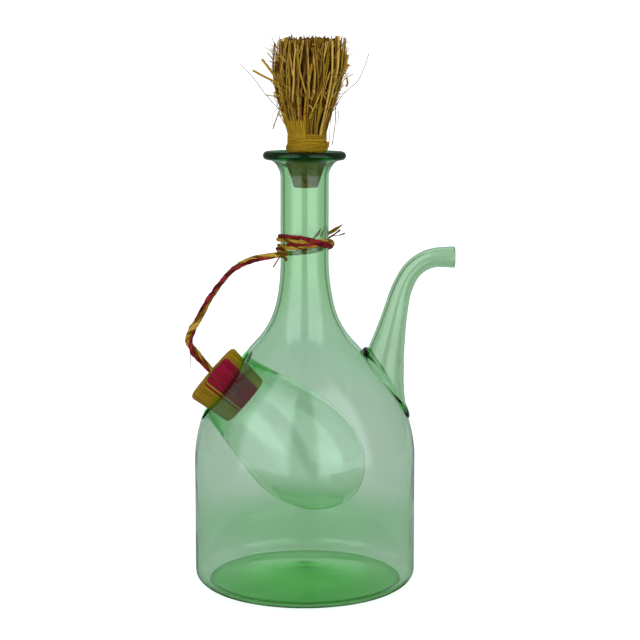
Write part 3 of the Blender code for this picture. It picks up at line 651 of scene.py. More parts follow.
# The floor's green is partly the thick glass's own and partly painted green shade of the table beneath;
# painted shade darkens it towards its rim.
FLOOR_TINT_AND_PAINTED_SHADE = (0.19, 0.83, 0.10)
FLOOR_RIM_PAINTED_SHADE = (0.12, 0.62, 0.08)
FLOOR_RIM_SPAN = (0.020, 0.056)
FLOOR_TOP_SPAN = (0.0150, 0.0125)
FLOOR_EDGE_SPAN = (FLOOR_RADIUS, FLOOR_RADIUS - 0.0006)
RING_PAINTED_SHADE = (0.07, 0.40, 0.05)            # painted shade: a darker ring where the floor turns up into the wall
RING_SPAN = (0.0565, 0.0605)
CORNER_PAINTED_SHADE = (0.42, 0.70, 0.37)          # painted shade on the near side of the bottom corner
CORNER_NEAR_SPAN = (0.010, -0.040)
CORNER_TOP_SPAN = (0.0085, 0.0055)
DEPTH_COLOUR, DEPTH_DENSITY = (0.225, 0.78, 0.28), 145.0
MOUTH_CALM = 0.94
MOUTH_CALM_SPAN = (0.0165, 0.0215)


def glass_material():
    """Clear green glass. It lets light for the other pieces through, and its welded seams don't show."""
    material, tree, shader, output = new_material("green_glass")
    place = tree.add("TexCoord").outputs["Object"]
    _, y, height = tree.add("SeparateXYZ", place).outputs
    flat = tree.out("VectorMath", place, (1.0, 1.0, 0.0), operation="MULTIPLY")
    radius = tree.add("VectorMath", flat, operation="LENGTH").outputs["Value"]
    lip = tree.step(height, *LIP_TINT_SPAN)
    tint = tree.mix(tree.step(height, *NECK_TINT_SPAN), GLASS_TINT, NECK_TINT)
    # The lip's tint is partly the glass's own green and partly painted shade.
    tint = tree.mix(lip, tint, LIP_TINT_AND_PAINTED_SHADE)
    # Painted shade on the near side of the bottom corner.
    corner = tree.product(tree.step(y, *CORNER_NEAR_SPAN), tree.step(height, *CORNER_TOP_SPAN))
    tint = tree.mix(corner, tint, CORNER_PAINTED_SHADE)
    # The floor's green, partly its own and partly painted shade, with painted shade darkening it towards its
    # rim.
    floor_tint_and_shade = tree.mix(tree.step(radius, *FLOOR_RIM_SPAN), FLOOR_TINT_AND_PAINTED_SHADE, FLOOR_RIM_PAINTED_SHADE)
    # Painted shade: a darker ring at the edge of the floor.
    floor_tint_and_shade = tree.mix(tree.step(radius, *RING_SPAN), floor_tint_and_shade, RING_PAINTED_SHADE)
    floor = tree.product(tree.step(height, *FLOOR_TOP_SPAN), tree.step(radius, *FLOOR_EDGE_SPAN))
    tint = tree.mix(floor, tint, floor_tint_and_shade)
    tint = tree.mix(tree.attribute("spout"), tint, SPOUT_TINT)
    ripple = tree.relief(tree.noise(place, 26.0, 2.0), 0.35, 0.0010)
    clear = {"Base Color": tint, "Roughness": 0.0, "IOR": 1.5, "Transmission Weight": 1.0, "Normal": ripple}
    tree.feed_named(shader, clear)
    path = tree.add("LightPath").outputs
    skipped = tree.math("MAXIMUM", path["Is Shadow Ray"], path["Is Diffuse Ray"])
    for name in ("seam", "calm"):
        skipped = tree.math("MAXIMUM", skipped, tree.attribute(name))
    surface = tree.out("MixShader", skipped, shader.outputs[0], tree.out("BsdfTransparent"))
    # Painted shade: a dark diffuse sheet mixed over the lip's glass.
    thick = tree.product(lip, LIP_PAINTED_SHADE_SHARE)
    surface = tree.out("MixShader", thick, surface, tree.out("BsdfDiffuse", LIP_PAINTED_SHADE))
    depth = tree.out("VolumeAbsorption", DEPTH_COLOUR, DEPTH_DENSITY)
    tree.feed_named(output, {"Surface": surface, "Volume": depth})
    return material


def make_glass():
    noise.seed_set(SWAY_SEED)
    material = glass_material()
    rows, seam = pocket_rows()
    pocket = make_grid_glass("pocket_glass", rows, seam, False, material, "ice_pocket")
    rows, seam, foot, normal = spout_rows()
    spout = make_grid_glass("spout_glass", rows, seam, True, material, "pour_spout")
    make_bottle(material, [pocket_cutter(), spout_cutter(foot, normal)])
    # The pocket's glass hardly shines where the plug fills it.
    points = np.array([tuple(v.co) for v in pocket.data.vertices]) - POCKET_MOUTH
    share = np.clip((points @ POCKET_IN - MOUTH_CALM_SPAN[0]) / np.ptp(MOUTH_CALM_SPAN), 0.0, 1.0)
    add_values(pocket.data, "calm", MOUTH_CALM * (1.0 - share**2 * (3 - 2 * share)))
    add_values(spout.data, "spout", np.ones(len(spout.data.vertices)))


# Colour stops of each fibre, from its darkest strands to its palest, and how strongly it is streaked.
FIBRES = {
    "natural_raffia": (0.30, [
        (0.0, (0.10, 0.050, 0.004)), (0.35, (0.28, 0.16, 0.004)), (0.65, (0.38, 0.225, 0.006)),
        (1.0, (0.52, 0.33, 0.03))]),
    "red_raffia": (0.30, [
        (0.0, (0.10, 0.002, 0.006)), (0.4, (0.27, 0.003, 0.022)), (0.75, (0.35, 0.004, 0.040)),
        (1.0, (0.46, 0.03, 0.04))]),
    # The straw's palest colours are partly its own and partly painted highlights.
    "straw": (0.22, [
        (0.0, (0.06, 0.026, 0.003)), (0.2, (0.20, 0.105, 0.008)), (0.5, (0.41, 0.235, 0.012)),
        (0.64, (0.50, 0.36, 0.05)), (0.80, (0.74, 0.50, 0.10)), (0.90, (0.34, 0.12, 0.02)),
        (1.0, (0.24, 0.05, 0.012))]),
    "cord_raffia": (0.42, [
        (0.0, (0.055, 0.022, 0.003)), (0.3, (0.19, 0.095, 0.004)), (0.62, (0.36, 0.20, 0.008)),
        (1.0, (0.52, 0.33, 0.04))]),
    "cord_raffia_red": (0.42, [
        (0.0, (0.07, 0.005, 0.004)), (0.35, (0.20, 0.008, 0.010)), (0.7, (0.31, 0.010, 0.022)),
        (1.0, (0.42, 0.055, 0.03))]),
}
CORK_STOPS = [(0.25, (0.07, 0.040, 0.003)), (0.55, (0.13, 0.080, 0.006)), (0.8, (0.24, 0.16, 0.03))]
CORK_PIT = (0.07, 0.035, 0.015)
# Painted shade in the creases between a fibre's ribs, and how strongly it darkens them.
CREASE_PAINTED_SHADE, CREASE_PAINTED_SHADE_SHARE = (0.30, 0.20, 0.12), 0.6


def fibre_material(name):
    """Plant fibre: a tint for each strand, long streaks along it, a finely ribbed surface and painted shade
    in its creases.
    """
    streak, stops = FIBRES[name]
    material, tree, shader, _ = new_material(name)
    run = tree.attribute("run", "Vector")
    stretched = tree.out("VectorMath", run, (0.10, 3.6, 1.2), operation="MULTIPLY")
    streaks, patches = tree.noise(stretched, 1.0, 4.0), tree.noise(run, 0.22, 3.0)
    shade = tree.attribute("tint")
    for share, pattern in ((streak * 1.4, patches), (streak, streaks)):
        shade = tree.math("MULTIPLY_ADD", tree.math("SUBTRACT", pattern, 0.5), share, shade)
    # Painted shade darkens the creases between the ribs.
    crease_shade = tree.math("SUBTRACT", 1.0, tree.step(streaks, 0.30, 0.55))
    colour = tree.mix(tree.product(crease_shade, CREASE_PAINTED_SHADE_SHARE), tree.stops(shade, stops), CREASE_PAINTED_SHADE, "MULTIPLY")
    ribs = tree.relief(streaks, 0.35, 0.0003)
    look = {"Base Color": colour, "Roughness": 0.65, "Specular IOR Level": 0.12, "Normal": ribs}
    tree.feed_named(shader, look)
    return material


def cork_material():
    """Cork: a mottled grain with dark pits that are flattened downwards."""
    material, tree, shader, _ = new_material("cork")
    place = tree.add("TexCoord").outputs["Object"]
    grain = tree.noise(place, 420.0, 6.0)
    squeezed = tree.out("Mapping", named={"Vector": place, "Scale": (1.0, 1.0, 0.35)})
    pores = tree.add("TexVoronoi", named={"Vector": squeezed, "Scale": 260.0})
    pit = tree.step(pores.outputs["Distance"], 0.10, 0.24)
    colour = tree.mix(pit, CORK_PIT, tree.stops(grain, CORK_STOPS))
    rough = tree.relief(tree.math("ADD", pit, grain), 0.5, 0.0004)
    tree.feed_named(shader, {"Base Color": colour, "Roughness": 0.85, "Normal": rough})
    return material


# ---- Strands --------------------------------------------------------------------------------------
class Strands:
    """Many flattened round bars gathered into one mesh, each with its own tint and run of fibre."""

    def __init__(self, seed):
        self.verts, self.faces, self.tints, self.runs = [], [], [], []
        self.random = random.Random(seed)

    def add(self, points, wide, thick, facing, tint=None, sides=6):
        """A bar with half-width wide and half-thickness thick; facing points out of its flat side."""
        points = np.asarray(points, float)
        count = len(points)
        tangent = unit(np.gradient(points, axis=0))
        facing = np.broadcast_to(np.asarray(facing, float), points.shape)
        facing = unit(facing - tangent * np.sum(facing * tangent, axis=1, keepdims=True))
        across = np.cross(tangent, facing)
        turns = 2 * math.pi * (np.arange(sides) + 0.5) / sides
        wide = np.broadcast_to(wide, count)[:, None, None]
        thick = np.broadcast_to(thick, count)[:, None, None]
        rings = points[:, None, :] + across[:, None, :] * (np.cos(turns)[:, None] * wide)
        rings = rings + facing[:, None, :] * (np.sin(turns)[:, None] * thick)
        first = len(self.verts)
        self.verts += [tuple(v) for v in rings.reshape(-1, 3)]
        self.faces += grid_faces(count, sides, first=first)
        self.faces.append(tuple(range(first, first + sides))[::-1])
        self.faces.append(tuple(range(first + (count - 1) * sides, first + count * sides)))
        tint = self.random.random() if tint is None else tint
        seed = self.random.random() * 50.0
        widest = float(np.max(wide))
        self.tints += [tint] * (count * sides)
        for length in length_along(points):
            for turn in turns:
                self.runs.append((length / MM, widest / MM * math.cos(turn) + seed, seed + math.sin(turn)))

    def build(self, name, material, body, slot, *nodes):
        mesh = bpy.data.meshes.new(name)
        mesh.from_pydata(self.verts, [], self.faces)
        add_values(mesh, "tint", self.tints)
        add_values(mesh, "run", self.runs, kind="FLOAT_VECTOR", field="vector")
        smooth(mesh, 75.0)
        return add_piece(name, mesh, material, body, slot, *nodes)


def curve_through(knots, spacing):
    """A smooth curve through the knots, of any number of columns, at even spacing of the first three."""
    knots = np.array(knots, float)
    padded = np.vstack([2 * knots[0] - knots[1], knots, 2 * knots[-1] - knots[-2]])
    t = np.linspace(0.0, 1.0, 16, endpoint=False)[:, None]
    fine = []
    for before, start, end, after in zip(padded, padded[1:], padded[2:], padded[3:]):
        bend = 2 * before - 5 * start + 4 * end - after
        turn = 3 * start - before - 3 * end + after
        fine.append(0.5 * (2 * start + (end - before) * t + bend * t**2 + turn * t**3))
    fine = np.vstack([*fine, knots[-1:]])
    along = length_along(fine[:, :3])
    return looked_up(np.linspace(0.0, along[-1], max(2, round(along[-1] / spacing) + 1)), along, fine)


def frame_along(path):
    """Two directions square to the path that don't twist about it, the first starting towards -Y."""
    tangent = unit(np.gradient(path, axis=0))
    side = np.array((0.0, -1.0, 0.0))
    sides = []
    for direction in tangent:
        side = unit(side - direction * np.dot(side, direction))
        sides.append(side)
    return np.array(sides), np.cross(tangent, sides)


def turned_round(path, sides, others, angle, offset):
    """The path moved out by offset at an angle round itself, and the directions it moved in."""
    angle = np.broadcast_to(angle, len(path))[:, None]
    out = np.cos(angle) * sides + np.sin(angle) * others
    return path + out * np.broadcast_to(offset, len(path))[:, None], out


def outward(angle, up=0.0):
    return np.array((math.cos(angle), math.sin(angle), up))


def scatter(chance, count):
    return np.array([chance.gauss(0, 1) for _ in range(count)])


# ---- Straw brush and binding ----------------------------------------------------------------------
BRUSH_TOP = 0.3448
STRAW_FOOT = 0.2735
BRUSH_HEIGHTS = np.array((0.272, 0.279, 0.2854, 0.290, 0.298, 0.310, 0.325, 0.345))
BRUSH_MIDDLES = np.array((0.0013, 0.0015, 0.0016, 0.0015, 0.0014, 0.0018, 0.0029, 0.0042))
BRUSH_RADII = np.array((0.0112, 0.0112, 0.0116, 0.0128, 0.0154, 0.0192, 0.0222, 0.0221))
STRAW_COUNT, CROSSING_COUNT, FUZZ_COUNT = 360, 84, 330
GOLDEN_ANGLE = math.pi * (3 - math.sqrt(5))

# Straws and hairs that leave the brush, in millimetres, with their half-width.
BRUSH_STRAYS = [
    ([(-15.0, -7, 300.0), (-24.7, -5, 311.1), (-31.0, -5, 319.8), (-39.4, -5, 328.5)], 0.20),
    ([(-14.5, -8, 315.5), (-19.1, -8, 318.3), (-26.1, -8, 321.8), (-31.7, -8, 324.9)], 0.55),
    ([(-16.0, -8, 318.0), (-20.3, -8, 324.3), (-26.0, -8, 331.7)], 0.60),
    ([(-17.5, -4, 328.0), (-19.8, -4, 332.0), (-22.8, -4, 335.6)], 0.35),
    ([(-14.0, -8, 309.0), (-20.4, -8, 309.3), (-24.3, -8, 310.2)], 0.32),
    ([(-12.4, -9, 307.0), (-14.9, -10, 301.0), (-17.4, -10, 294.9), (-19.5, -10, 288.9)], 0.38),
    ([(-12.0, -8, 292.0), (-15.0, -9, 297.0), (-17.0, -9, 298.5)], 0.30),
    ([(23.0, -6, 321.0), (24.6, -6, 326.5), (26.7, -6, 334.4)], 0.80),
    ([(23.5, -6, 322.0), (24.9, -6, 325.4), (27.3, -6, 328.5)], 0.55),
    ([(18.0, -4, 300.0), (23.1, -4, 309.3), (27.4, -4, 313.5), (32.9, -4, 318.3), (37.0, -4, 326.7),
      (39.6, -4, 334.9)], 0.20),
    ([(21.5, -6, 312.5), (23.2, -6, 317.1), (25.6, -6, 320.1), (29.8, -6, 322.4)], 0.28),
    ([(25.9, -6, 314.7), (26.7, -6, 317.2), (26.0, -6, 320.6)], 0.50),
    ([(19.4, -8, 303.0), (18.9, -8, 292.0), (17.1, -8, 279.2)], 0.24),
    ([(20.6, -8, 301.5), (21.0, -8, 296.7), (19.8, -8, 291.3)], 0.16),
    ([(17.0, -8, 299.0), (15.9, -8, 291.9), (15.3, -8, 279.9)], 0.15),
    ([(-14.0, -6, 303.0), (-17.8, -6, 300.5), (-19.9, -6, 296.0), (-19.2, -6, 291.0)], 0.12),
]


def round_brush(radius, angle, height):
    """A place at this distance from the brush's leaning axis."""
    middle = np.interp(height, BRUSH_HEIGHTS, BRUSH_MIDDLES)
    return np.stack([middle + radius * np.cos(angle), radius * np.sin(angle), height], axis=-1)


def brush_point(share, angle, height):
    """A place in the brush, at a share of its radius at that height."""
    return round_brush(np.interp(height, BRUSH_HEIGHTS, BRUSH_RADII) * share, angle, height)


def add_straws(straws, chance):
    """The bundle itself: straws spread evenly over its section, painted darker inside as shade, some cut
    short.
    """
    for index in range(STRAW_COUNT):
        share = math.sqrt((index + 0.5) / STRAW_COUNT)
        angle = index * GOLDEN_ANGLE + chance.uniform(-0.12, 0.12)
        outer = share > 0.86
        top = BRUSH_TOP + chance.gauss(-0.0012, 0.0011)
        if outer and chance.random() < 0.3:
            top -= 0.0015
        if outer and chance.random() < 0.30:
            top -= chance.uniform(0.004, 0.035)
        height = np.linspace(STRAW_FOOT, top, 16)
        rise = (height - STRAW_FOOT) / (BRUSH_TOP - STRAW_FOOT)
        drift = chance.gauss(0.0, 0.34) * rise
        drift = drift + chance.gauss(0.0, 0.022) * np.sin(rise * chance.uniform(3, 6))
        drift = drift + chance.gauss(0.0, 0.28) * np.maximum(rise - chance.uniform(0.3, 0.9), 0.0)
        spread = share * (1 + chance.gauss(0.0, 0.03) * rise)
        points = brush_point(spread, angle + drift, height)
        points[:, :2] += scatter(chance, 2) * 0.0011 * (rise[:, None] ** 2)
        points[:, :2] += scatter(chance, 2) * 0.0002 * np.sin(rise * 5.0)[:, None]
        wide = chance.choice((0.00040, 0.00058, 0.00072, 0.00090)) * (1.0 - 0.25 * rise * chance.random())
        facing = outward(angle + chance.gauss(0.0, 0.9))
        kind = chance.random()
        tint = 0.92 if kind < 0.02 else (0.03 if kind < 0.14 else chance.uniform(0.20, 0.86))
        # Painted shade: straws inside the bundle are darker.
        tint = tint if share > 0.80 else tint * 0.22
        straws.add(points, wide, wide * chance.uniform(0.45, 0.8), facing, tint)


def add_crossing_straws(straws, chance):
    """Thin straws that lean across the others on the outside."""
    rise = np.linspace(0.0, 1.0, 12)
    for _ in range(CROSSING_COUNT):
        angle = chance.uniform(0.0, 2 * math.pi)
        low = chance.uniform(0.2870, 0.3220)
        high = min(low + chance.uniform(0.010, 0.042), BRUSH_TOP - chance.uniform(0.0, 0.004))
        lean = chance.gauss(0.0, 0.26) * rise + chance.gauss(0.0, 0.015) * np.sin(rise * 5.0)
        share = chance.uniform(0.93, 1.02) + chance.uniform(-0.02, 0.07) * rise
        points = brush_point(share, angle + lean, low + (high - low) * rise)
        wide = chance.choice((0.00022, 0.00035, 0.00050, 0.00065))
        tint = chance.choice((0.03, 0.3, 0.55, 0.72, 0.84))
        straws.add(points, wide * (1.0 - 0.3 * rise), wide * 0.6, outward(angle, 0.2), tint)


def add_strays(straws):
    for points, wide in BRUSH_STRAYS:
        path = curve_through(np.array(points) * MM, 0.0015)
        half = wide * (1.5 if wide < 0.5 else 1.9) * MM
        taper = np.linspace(half * 0.8, half * 0.75, len(path))
        straws.add(path, taper, half * 0.6, (0.0, -1.0, 0.2), 0.10 if wide < 0.26 else 0.5, sides=5)


def add_fuzz(straws, chance):
    """Short split fibres that stand off the outside."""
    for _ in range(FUZZ_COUNT):
        angle = chance.uniform(0.0, 2 * math.pi)
        start = brush_point(1.0, angle, chance.uniform(0.297, 0.341))
        out = outward(angle, chance.uniform(0.1, 1.6))
        out[:2] += scatter(chance, 2) * 0.35
        length = chance.choice((0.0015, 0.002, 0.003, 0.0035, 0.0045, 0.0065))
        bend = scatter(chance, 3) * 0.0008
        points = [start - out * 0.002, start + out * length * 0.5 + bend, start + out * length]
        path = curve_through(points, 0.0008)
        wide = chance.choice((0.00014, 0.00022, 0.00034, 0.00046))
        straws.add(path, np.linspace(wide, wide * 0.4, len(path)), wide * 0.6, (0.3, -1.0, 0.3), sides=4)


def make_brush(material):
    straws = Strands(11)
    add_straws(straws, straws.random)
    add_crossing_straws(straws, straws.random)
    add_strays(straws)
    add_fuzz(straws, straws.random)
    nodes = [f"outer_straw_{index:02d}" for index in range(1, 15)]
    straws.build("straw_brush", material, "stopper", "straw", "straw_bundle", *nodes)


def make_binding_turns(material):
    turns = Strands(5)
    chance = turns.random

    def ring(start, sweep, height, climb, radius, wide, thick, tint, lean=0.0):
        count = max(8, int(abs(sweep) / 5))
        angle = np.radians(np.linspace(start, start + sweep, count))
        reach = radius + 0.00008 * np.sin(angle * 3 + height * 9000)
        z = height + climb * np.linspace(0.0, 1.0, count) + lean * np.sin(angle)
        points = round_brush(reach, angle, z)
        facing = np.stack([np.cos(angle), np.sin(angle), 0 * angle], axis=1)
        turns.add(points, wide, thick, facing, tint, sides=8)

    for index in range(7):
        radius = 0.01195 + 0.00008 * (index % 2)
        tint, lean = chance.uniform(0.28, 0.72), chance.gauss(0, 0.00015)
        ring(200 + 13 * index, 372, 0.27885 + 0.00102 * index, 0.0006, radius, 0.00072, 0.00030, tint, lean)
    for index, height in enumerate((0.2756, 0.2766, 0.2776, 0.2785)):
        radius = 0.0121 + 0.00075 * math.sin(math.pi * (index + 0.4) / 3.6)
        ring(150 + 20 * index, 370, height, 0.0003, radius, 0.00075, 0.00042, chance.uniform(0.35, 0.6))
    ring(205, 80, 0.2790, -0.0034, 0.01318, 0.0009, 0.00024, 0.42)
    ring(236, 60, 0.2757, 0.0030, 0.01322, 0.0008, 0.00024, 0.50)
    turns.build("binding_turns", material, "stopper", "natural_raffia", "binding_wrap")


def make_binding_blade(material):
    """The flat end of the binding, laid up against the straws."""
    leaf = Strands(7)
    for index, start in enumerate(np.linspace(197.0, 262.0, 12)):
        angle = math.radians(start)
        top = 0.2996 if index < 4 else 0.2944 + 0.0005 * math.sin(index * 2.2)
        height = np.linspace(0.2838, top, 9)
        points = round_brush(np.interp(height, BRUSH_HEIGHTS, BRUSH_RADII) + 0.0006, angle, height)
        leaf.add(points, 0.00066, 0.00026, outward(angle), 0.68 + 0.03 * (index % 3), sides=8)
    leaf.build("binding_blade", material, "stopper", "natural_raffia", "binding_leaf")


def make_binding_bump(material):
    knot = Strands(9)
    for lift in (-0.0009, 0.0, 0.0009):
        path = [(0.0128, -0.0042, 0.2786 + lift), (0.0141, -0.0022, 0.2795 + lift)]
        path += [(0.0148, 0.0, 0.2797 + lift * 0.7), (0.0140, 0.0024, 0.2791 + lift)]
        path += [(0.0126, 0.0042, 0.2786 + lift)]
        knot.add(curve_through(path, 0.0006), 0.0007, 0.0006, (1.0, 0.0, 0.0), 0.5, sides=8)
    tail = [(0.0143, -0.0012, 0.2806), (0.0151, -0.0020, 0.2790), (0.0149, -0.0026, 0.2774)]
    tail = curve_through(tail, 0.0006)
    knot.add(tail, np.linspace(0.0006, 0.0002, len(tail)), 0.0003, (0.6, -1.0, 0.0), 0.5)
    knot.build("binding_bump", material, "stopper", "natural_raffia", "binding_knot")


# ---- Cork -----------------------------------------------------------------------------------------
CORK_LOW, CORK_HIGH = 0.2525, 0.2742
CORK_RADIUS, CORK_TAPER = 0.0078, 0.26


def make_cork(material):
    length = CORK_HIGH - CORK_LOW
    top = CORK_RADIUS - 0.0001 + CORK_TAPER * length
    outline = [(0.0, CORK_LOW), (0.0030, CORK_LOW), (0.0050, CORK_LOW + 0.0001), (0.0066, CORK_LOW + 0.0002)]
    outline += arc((0.0068, CORK_LOW + 0.0010), 0.0009, -math.pi / 2, -0.2, 5)
    for share in np.linspace(0, 1, 22):
        radius = CORK_RADIUS + (top - CORK_RADIUS) * share
        outline.append((radius, CORK_LOW + 0.0012 + (length - 0.0020) * share))
    outline.append((top - 0.0006, CORK_HIGH - 0.0001))
    outline += [(radius, CORK_HIGH) for radius in (top - 0.003, 0.006, 0.0)]
    verts, faces = revolve(resampled(outline, 0.0009), 96)
    moved = []
    for x, y, z in verts:
        pit = 0.00048 * max(0.0, noise.noise(Vector((x, y, z)) * 650.0) - 0.15)
        low = max(0.0, (CORK_LOW + 0.004 - z) / 0.004)
        chip = max(0.0, noise.noise(Vector((x, y, 0.0)) * 170.0 + Vector((5.0, 1.0, 0.0))) * 0.0007 * low)
        radius = math.hypot(x, y)
        scale = 1.0 if radius < 1e-6 else (radius - pit - chip) / radius
        moved.append((x * scale + 0.0008, y * scale, z + chip * 0.6 * (radius / 0.0098)))
    add_piece("cork", mesh_from("cork", moved, faces, 35.0), material, "stopper", "cork", "cork_stopper")


# ---- Ice plug: a cork ring with raffia wound through its hole -------------------------------------
PLUG_OUTER, PLUG_INNER = -0.0127, 0.0160
PLUG_OUTER_RADIUS, PLUG_INNER_RADIUS = 0.0204, 0.0173
PLUG_ROUNDING, PLUG_HOLE = 0.0022, 0.0031
PLUG_STEPS = 72
PLUG_PITCH = 2.5
PLUG_TIE_COUNT = 7
PLUG_TIE_KNOTS = (                                   # s, distance from the plug's axis and angle
    (-0.0136, 0.0012, 0.0), (-0.0124, 0.0021, 0.4), (-0.0108, 0.0018, 0.9), (0.0010, 0.0013, 2.2),
    (0.0130, 0.0014, 3.4), (0.0146, 0.0019, 3.9), (0.0152, 0.0012, 4.4),
)


def plug_section(inset):
    """(radius, s) round the plug from its outer hole edge, over the side, to its inner hole edge."""
    rounding = PLUG_ROUNDING - inset * 0.6
    low, high = PLUG_OUTER + inset, PLUG_INNER - inset
    big, small = PLUG_OUTER_RADIUS - inset, PLUG_INNER_RADIUS - inset
    loop = [(PLUG_HOLE - 0.0006, low + 0.0022), (PLUG_HOLE, low + 0.0006)]
    for radius in np.linspace(PLUG_HOLE + 0.0008, big - rounding, 8):
        crown = math.sin(math.pi * (radius - PLUG_HOLE) / (big - PLUG_HOLE))
        loop.append((radius, low - 0.0002 * crown))
    loop += arc((big - rounding, low + rounding), rounding, -math.pi / 2, -0.1, 7)[1:]
    for share in np.linspace(0, 1, 9)[1:-1]:
        loop.append((big + (small - big) * share, low + rounding + (high - low - 2 * rounding) * share))
    loop += arc((small - rounding, high - rounding), rounding, 0.1, math.pi / 2, 7)
    loop += [(radius, high) for radius in np.linspace(small - rounding, PLUG_HOLE + 0.0008, 8)[1:]]
    return np.array(loop + [(PLUG_HOLE, high - 0.0006), (PLUG_HOLE - 0.0006, high - 0.0022)])


def add_plug_strand(strands, angle, half, inset, tint):
    chance = strands.random
    section = plug_section(inset)
    count = len(section)
    wander = math.radians(chance.gauss(0.0, 0.5)) * np.sin(np.linspace(0, 3.0 + chance.random(), count))
    turn = np.full(count, math.radians(angle)) + wander
    run = unit(np.gradient(section, axis=0))
    around = np.cos(turn)[:, None] * POCKET_SIDE + np.sin(turn)[:, None] * POCKET_UP
    facing = around * run[:, 1:] - POCKET_IN * run[:, :1]
    narrowing = np.clip((section[:, 0] - 0.0005) / 0.0185, 0.22, 1.0)
    wide = half * narrowing * (1 + 0.12 * np.sin(np.linspace(0, 9, count) + angle))
    points = pocket_point(section[:, 0], section[:, 1], turn)
    strands.add(points, wide, np.clip(wide * 0.6, 0.00016, 0.00026), facing, tint)


def make_plug_windings(natural, red):
    """The raffia all round the plug, a red sector in it, and a pair of strands of each beside that."""
    for seed, start, end, name, material, slot, node in (
        (21, 17.5, 311.0, "plug_raffia", natural, "natural_raffia", "plug_wrap_natural"),
        (22, -48.0, 8.0, "plug_raffia_red", red, "red_raffia", "plug_wrap_red"),
    ):
        strands = Strands(seed)
        chance = strands.random
        angle = start
        while angle < end:
            shifted = angle + chance.gauss(0, 0.3)
            inset = chance.uniform(0.0001, 0.0003)
            add_plug_strand(strands, shifted, 0.00050, inset, chance.uniform(0.38, 0.62))
            angle += PLUG_PITCH
        strands.build(name, material, "ice_plug", slot, node)
    for seed, angles, half, inset, tint, name, material, slot, node in (
        (23, (9.6, 11.6), 0.00036, 0.00012, 0.85,
         "plug_edge_raffia", natural, "natural_raffia", "plug_strand_natural"),
        (24, (13.2, 15.2), 0.00042, 0.00018, 0.4,
         "plug_edge_raffia_red", red, "red_raffia", "plug_strand_red"),
    ):
        strands = Strands(seed)
        for angle in angles:
            add_plug_strand(strands, angle, half, inset, tint)
        strands.build(name, material, "ice_plug", slot, node)


def make_plug(natural, red, cork):
    make_plug_windings(natural, red)
    angles = np.linspace(0.0, 2 * math.pi, PLUG_STEPS, endpoint=False)
    rows = [
        pocket_point(np.full(PLUG_STEPS, radius), np.full(PLUG_STEPS, s), angles)
        for radius, s in plug_section(0.0008)
    ]
    mesh = mesh_from("plug_cork", np.array(rows).reshape(-1, 3), grid_faces(len(rows), PLUG_STEPS, True))
    add_piece("plug_cork", mesh, cork, "ice_plug", "cork", "plug_core")
    tie = Strands(25)
    for phase in 2 * math.pi * np.arange(PLUG_TIE_COUNT) / PLUG_TIE_COUNT:
        knots = [pocket_point(radius, s, phase + turn) for s, radius, turn in PLUG_TIE_KNOTS]
        tint = tie.random.uniform(0.2, 0.6)
        tie.add(curve_through(knots, 0.0009), 0.0007, 0.0004, POCKET_SIDE + POCKET_UP * 0.3, tint)
    tie.build("plug_knot", natural, "ice_plug", "natural_raffia", "plug_tie")


# ---- Cord and neck wraps --------------------------------------------------------------------------
# Middle of the cord in millimetres, then the distance of its plies from the middle and their turn in degrees.
CORD_KNOTS = [
    (-15.2, -11.6, 211.6, 0.6, 20), (-19.0, -11.5, 210.9, 0.6, 60), (-23.2, -11.4, 210.2, 0.7, 96),
    (-31.9, -11.0, 208.4, 0.8, 120), (-41.2, -10.0, 204.2, 0.9, 150), (-47.9, -9.0, 198.8, 0.9, 180),
    (-53.5, -8.0, 192.0, 0.9, 200), (-59.0, -7.0, 184.6, 0.9, 215), (-63.0, -6.0, 177.4, 0.9, 240),
    (-66.6, -5.0, 170.6, 1.0, 300), (-70.2, -4.0, 164.0, 2.1, 370), (-72.8, -3.2, 157.6, 1.0, 430),
    (-72.4, -2.4, 152.4, 1.7, 520), (-69.3, -1.4, 147.8, 1.5, 580), (-65.0, -0.7, 142.6, 0.9, 590),
    (-60.9, 0.0, 138.0, 0.7, 620), (-58.6, 0.2, 135.2, 0.5, 640),
]
CORD_HAIR = [(-0.0716, -0.0030, 0.1500), (-0.0721, -0.0032, 0.1460), (-0.0722, -0.0034, 0.1385)]

# Middle of the cord round the neck: angle in degrees, distance from the axis and height in millimetres,
# then the turn of the plies in degrees.
WRAP_KNOTS = [
    (212, 16.6, 212.8, 90), (196, 16.7, 213.8, 200), (184, 16.6, 214.9, 330), (212, 16.7, 216.0, 430),
    (240, 16.5, 216.9, 500), (270, 16.5, 217.4, 560), (300, 16.6, 217.9, 620), (330, 16.9, 217.6, 680),
    (356, 17.0, 216.5, 760), (400, 17.0, 216.2, 880), (450, 16.6, 216.4, 1000), (500, 16.6, 218.2, 1110),
    (536, 16.3, 220.7, 1210), (570, 16.5, 221.7, 1260), (600, 17.0, 221.7, 1265), (630, 17.5, 221.0, 1290),
    (660, 17.8, 220.0, 1360), (690, 17.0, 218.8, 1430), (716, 17.0, 217.4, 1500), (750, 17.0, 215.0, 1590),
    (800, 16.8, 211.6, 1650), (850, 16.6, 210.0, 1710), (890, 16.7, 211.2, 1760), (922, 16.6, 212.0, 1820),
    (936, 16.3, 212.2, 1860),
]

